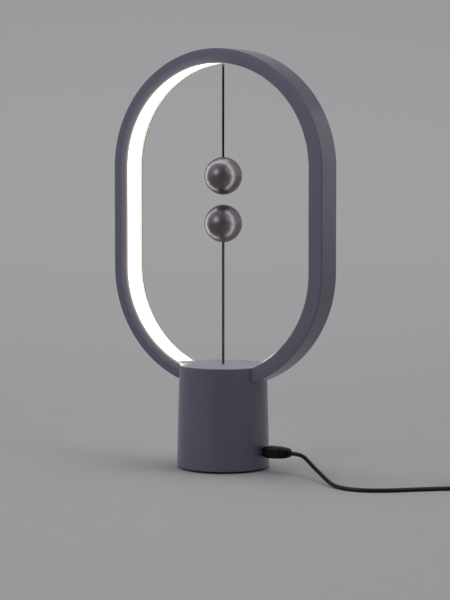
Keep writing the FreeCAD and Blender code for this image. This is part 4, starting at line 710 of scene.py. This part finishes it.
class LAMP_OT_cable(bpy.types.Operator):
    """Power cable: over the table to its put-away coil, and on to the large plug"""

    bl_idname = "lamp.cable"
    bl_label = "Power cable"

    # the cable's last two places over the table, which the large plug is in line with
    before_end = (0.2709, 0.0600)
    end = (0.2686, 0.0662)

    def route(self, diameter):
        """Points in metres: out of the plug, over the table, round the coil and off it."""
        table = diameter / 2 + 0.05 * MM
        exit_z = PORT.z
        lead = [
            (RELIEF_END, 0, exit_z), (0.078, 0, exit_z), (0.0832, -0.001, 0.01815),
            (0.0888, -0.0034, 0.0172), (0.0947, -0.0078, 0.0152), (0.1049, -0.0174, 0.0122),
            (0.118, -0.0293, 0.0086), (0.1314, -0.0414, 0.0048), (0.145, -0.053, table),
            (0.161, -0.0616, table), (0.179, -0.0618, table), (0.196, -0.053, table),
            (0.2115, -0.0392, table), (0.228, -0.0248, table), (0.245, -0.0112, table),
        ]
        coil_low, coil_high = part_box("cable_coil")
        centre = (coil_low + coil_high) / 2
        outer = (coil_high.x - coil_low.x) / 2 - diameter / 2
        bottom = coil_low.z + diameter / 2
        places = [(0, 0), (0, 1), (1, 1), (1, 0), (2, 0), (2, 1), (2, 2), (1, 2), (0, 2)]
        start_angle = math.radians(-60.3)
        end_angle = math.radians(25.5)
        per_turn = 16
        moving = 0.22
        total = len(places) - 1 + (end_angle - start_angle) / math.tau
        coil = []
        for index in range(round(total * per_turn) + 1):
            done = index / round(total * per_turn) * total
            turn = min(int(done), len(places) - 1)
            blend = max(0.0, (done - turn - 1 + moving) / moving)
            inset, layer = places[turn]
            next_inset, next_layer = places[min(turn + 1, len(places) - 1)]
            angle = start_angle + done * math.tau
            reach = outer - (inset + (next_inset - inset) * blend) * diameter
            rise = (layer + (next_layer - layer) * blend) * diameter
            coil.append((centre.x + reach * math.cos(angle), centre.y + reach * math.sin(angle),
                         bottom + rise))
        plug_z = (low("host_plug_grip").z + high("host_plug_grip").z) / 2
        tail = [(0.2768, 0.0466, 0.0086), (0.2736, 0.0534, 0.0056),
                (*self.before_end, plug_z), (*self.end, plug_z)]
        return lead + coil + tail

    def execute(self, context):
        sizes = context.scene.lamp_sizes
        points = self.route(sizes.cable_diameter)
        curve = bpy.data.curves.new("power_cable_jacket", "CURVE")
        curve.dimensions = "3D"
        curve.bevel_depth = sizes.cable_diameter / 2
        curve.bevel_resolution = 5
        curve.resolution_u = 8
        curve.use_fill_caps = True
        spline = curve.splines.new("NURBS")
        spline.points.add(len(points) - 1)
        for spot, point in zip(spline.points, points):
            spot.co = (*point, 1)
        spline.order_u = 3
        spline.use_endpoint_u = True
        curve.materials.append(cable_jacket())
        cable = bpy.data.objects.new("power_cable_jacket", curve)
        context.scene.collection.objects.link(cable)
        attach(cable, "power_plug")
        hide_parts("power_cable", "cable_coil", "cable_tail")
        fittings = [frame["nodes"][name] for name in
                    ("coil_tie", "host_plug_shell", "host_plug_tongue")]
        fittings += [self.grip(), self.relief(), self.large_grip()]
        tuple(points[0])
        return {"FINISHED"}

    def grip(self):
        """Small plug's grip: a nose that widens, a plain body and a ribbed heel."""
        width = 11.6
        height = 10.4
        stations = [
            (PLUG_START, 8.8 * MM, 7.2 * MM), (PLUG_START + 0.3 * MM, 9.5 * MM, 7.9 * MM),
            (PLUG_START + 1.0 * MM, 10.0 * MM, 8.4 * MM),
            (PLUG_START + 5.2 * MM, 11.7 * MM, 11.0 * MM),
            (PLUG_START + 6.6 * MM, 12.0 * MM, 11.4 * MM),
            (PLUG_START + 18.6 * MM, width * MM, height * MM),
        ]
        heel = PLUG_START + 19.4 * MM
        taper = 1.8
        ribs = 5
        rib_depth = 1.1
        pitch = (PLUG_END - heel) / ribs
        for rib in range(ribs):
            start = heel + rib * pitch
            for share, depth in ((0.0, rib_depth), (0.12, 0.0), (0.46, 0.0), (0.58, rib_depth)):
                x = start + share * pitch
                along = (x - heel) / (PLUG_END - heel)
                loss = taper * along + depth
                stations.append((x, (width - loss) * MM, (height - loss) * MM))
        stations.append((PLUG_END, 9.2 * MM, 8.2 * MM))
        work = lofted(stations, 1.3 * MM, PORT)
        return as_piece("plug_grip_body", work, moulded_black(), "power_plug",
                        ["plug_grip"])

    def relief(self):
        """Small block that the cable leaves the plug through."""
        length = RELIEF_END - PLUG_END
        stations = [
            (PLUG_END, 6.2 * MM, 5.8 * MM), (PLUG_END + length * 0.8, 6.2 * MM, 5.8 * MM),
            (RELIEF_END, 5.5 * MM, 5.1 * MM),
        ]
        work = lofted(stations, 1.0 * MM, PORT)
        return as_piece("plug_relief_block", work, moulded_black(), "power_plug",
                        ["plug_strain_relief"])

    def large_grip(self):
        """Large plug's grip, laid in line with the cable's end."""
        middle_z = (low("host_plug_grip").z + high("host_plug_grip").z) / 2
        body = (15.6 * MM, 8.0 * MM)
        groove = (15.0 * MM, 7.4 * MM)
        stations = [
            (0.0, 8.6 * MM, 5.6 * MM), (0.6 * MM, 9.4 * MM, 6.4 * MM),
            (3.0 * MM, 12.4 * MM, 7.4 * MM), (6.0 * MM, 15.0 * MM, 7.9 * MM),
        ]
        for start, stop, section in ((8.0, 9.6, body), (9.9, 11.1, groove), (11.4, 12.8, body),
                                     (13.1, 14.3, groove), (14.6, 23.4, body)):
            stations += [(start * MM, *section), (stop * MM, *section)]
        stations.append((24.0 * MM, 14.6 * MM, 7.0 * MM))
        work = lofted(stations, 1.8 * MM, Vector())
        heading = (Vector(self.end) - Vector(self.before_end)).to_3d().normalized()
        bmesh.ops.rotate(work, verts=work.verts, cent=Vector(),
                         matrix=X_AXIS.rotation_difference(heading).to_matrix())
        bmesh.ops.translate(work, verts=work.verts, vec=(*self.end, middle_z))
        return as_piece("large_plug_grip", work, moulded_black(), "power_plug",
                        ["host_plug_grip"])


class LAMP_OT_balls(bpy.types.Operator):
    """The two magnetic balls, each of two lacquered shells"""

    bl_idname = "lamp.balls"
    bl_label = "Balls"

    def shell(self, name, node, up, hole, material):
        """A half shell; up is 1 for the half above the seam, and hole is 0 where it is closed."""
        bottom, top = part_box(node)
        reach = (top.x - bottom.x) / 2
        room = reach - 2.2 * MM
        seam = 0.05 * MM
        bevel = 0.16 * MM
        level = top.z - reach if up == 1 else bottom.z + reach
        outer_steps = 56
        inner_steps = 20
        start = math.asin(hole / reach)
        last = math.pi / 2 - (seam + bevel) / reach
        profile = []
        for step in range(outer_steps + 1):
            angle = start + (last - start) * step / outer_steps
            profile.append((reach * math.sin(angle), reach * math.cos(angle)))
        profile.append((reach - bevel, seam))
        for step in range(inner_steps + 1):
            angle = math.pi / 2 - (math.pi / 2 - start) * step / inner_steps
            profile.append((room * math.sin(angle), max(seam, room * math.cos(angle))))
        points = [Vector((x, 0, level + up * z)) for x, z in profile]
        work = turned(points, steps=144)
        body = name.rsplit("_", 2)[0]
        return as_piece(name, work, material, body, [node])

    def execute(self, context):
        material = ball_lacquer()
        sizes = context.scene.lamp_sizes
        for ball, cord_side, cord in (("upper_ball", 1, sizes.upper_cord),
                                      ("lower_ball", -1, sizes.lower_cord)):
            for word, up in (("top", 1), ("bottom", -1)):
                hole = cord / 2 + sizes.cord_hole if up == cord_side else 0.0
                self.shell(f"{ball}_{word}_half", f"{ball}_{word}_shell", up, hole, material)
        return {"FINISHED"}


class LAMP_OT_cords(bpy.types.Operator):
    """Twisted cords of the two balls"""

    bl_idname = "lamp.cords"
    bl_label = "Cords of the balls"

    def execute(self, context):
        colours = context.scene.lamp_colours
        sizes = context.scene.lamp_sizes
        upper = thread_material("dark_thread", colours.thread)
        lower = thread_material("grey_thread", colours.lower_thread)
        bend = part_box("lower_cord_bend")
        tail_top = high("lower_cord_tail").z
        cord_bottom = low("lower_cord").z
        table = (
            ("upper_thread", "upper_cord", "upper_ball", upper, sizes.upper_cord,
             low("upper_cord").z, high("upper_cord").z),
            ("lower_thread", "lower_cord", "lower_ball", lower, sizes.lower_cord,
             cord_bottom, high("lower_cord").z),
            ("lower_thread_bend", "lower_cord_bend", "lower_link", lower, sizes.lower_cord,
             (tail_top + bend[0].z) / 2, (cord_bottom + bend[1].z) / 2),
            ("lower_thread_tail", "lower_cord_tail", "plunger", lower, sizes.lower_cord,
             low("lower_cord_tail").z, tail_top),
        )
        for name, node, body, material, diameter, bottom, top in table:
            work = twisted(diameter / 2, bottom, top, sizes.twist)
            as_piece(name, work, material, body, [node])
        return {"FINISHED"}


class LAMP_OT_front_cover(bpy.types.Operator):
    """Front cover of the ring: a plate with rounded rims and the rib behind it"""

    bl_idname = "lamp.front_cover"
    bl_label = "Front cover"

    def execute(self, context):
        bottom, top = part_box("ring_front_cover")
        round_steps = 8
        plate = 1.2 * MM
        rib_outside = 1.72 * MM
        rib_inside = rib_outside + 1.2 * MM
        rib_end = top.y - bottom.y
        lip_inside = RIM_WIDTH - 0.8 * MM
        lip_end = INNER_ROUND + 0.1 * MM
        section = [(SEAM_CUT, plate), (0, plate - SEAM_CUT * 0.8)]
        for radius, inset, start in ((FRONT_ROUND, FRONT_ROUND, math.pi),
                                     (INNER_ROUND, RIM_WIDTH - INNER_ROUND, math.pi * 1.5)):
            for step in range(round_steps + 1):
                angle = start + math.pi / 2 * step / round_steps
                section.append((inset + radius * math.cos(angle),
                                radius + radius * math.sin(angle)))
        section += [(RIM_WIDTH, lip_end), (lip_inside, lip_end), (lip_inside, plate),
                    (rib_inside, plate), (rib_inside, rib_end), (rib_outside, rib_end),
                    (rib_outside, plate)]
        work = oval_sweep([(inset, RING_FRONT + depth) for inset, depth in section])
        as_piece("ring_front_plate", work, cover_paint_and_painted_glow(), "stand",
                 ["ring_front_cover"])
        return {"FINISHED"}


class LAMP_OT_finishes(bpy.types.Operator):
    """Finishes of the ring, the base and everything inside them"""

    bl_idname = "lamp.finishes"
    bl_label = "Finishes"

    def execute(self, context):
        colours = context.scene.lamp_colours
        finishes = {
            "base_plastic": base_paint(),
            # painted light: the front plastic is a lighter copy of the shell paint with a painted
            # glow on its inner rim
            "ring_front_plastic": cover_paint_and_painted_glow(),
            "ring_back_plastic": shell_paint(),
            "ball_plastic": ball_lacquer(),
            "lit_diffuser": glow_material(),
            "foot_rubber": foot_rubber(),
            "cord_fabric": thread_material("knot_thread", colours.thread),
            "cable_jacket": moulded_black(),
            "tie_plastic": woven_band(),
        }
        for slot, (colour, roughness, metallic) in INNER_FINISHES.items():
            finishes[slot] = new_material(slot, colour, roughness, metallic=metallic)
        for part in frame["record"]["subparts"]:
            node = frame["nodes"][part["node"]]
            node.data.materials.clear()
            node.data.materials.append(finishes[part["material_slot"]])
        return {"FINISHED"}


# ---------------------------------------------------------------- add-on

PIECES = (
    LAMP_OT_stage,
    LAMP_OT_cable,
    LAMP_OT_finishes,
    LAMP_OT_front_cover,
    LAMP_OT_balls,
    LAMP_OT_cords,
)


class LAMP_PT_pieces(bpy.types.Panel):
    """Pieces of the lamp"""

    bl_idname = "LAMP_PT_pieces"
    bl_label = "Balance lamp"
    bl_space_type = "VIEW_3D"
    bl_region_type = "UI"
    bl_category = "Lamp"

    def draw(self, context):
        layout = self.layout
        for group in (context.scene.lamp_colours, context.scene.lamp_sizes,
                      context.scene.lamp_stage):
            for name in group.__annotations__:
                layout.prop(group, name)
        for piece in PIECES:
            layout.operator(piece.bl_idname)


GROUPS = (LampColours, LampSizes, LampStage)
CLASSES = (*GROUPS, *PIECES, LAMP_PT_pieces)


def register():
    for item in CLASSES:
        bpy.utils.register_class(item)
    bpy.types.Scene.lamp_colours = PointerProperty(type=LampColours)
    bpy.types.Scene.lamp_sizes = PointerProperty(type=LampSizes)
    bpy.types.Scene.lamp_stage = PointerProperty(type=LampStage)


def unregister():
    del bpy.types.Scene.lamp_stage
    del bpy.types.Scene.lamp_sizes
    del bpy.types.Scene.lamp_colours
    for item in reversed(CLASSES):
        bpy.utils.unregister_class(item)


def main():
    """Make every piece."""
    register()
    bpy.ops.lamp.stage()
    bpy.ops.lamp.cable()
    bpy.ops.lamp.finishes()
    bpy.ops.lamp.front_cover()
    bpy.ops.lamp.balls()
    bpy.ops.lamp.cords()


if __name__ == "__main__":
    main()
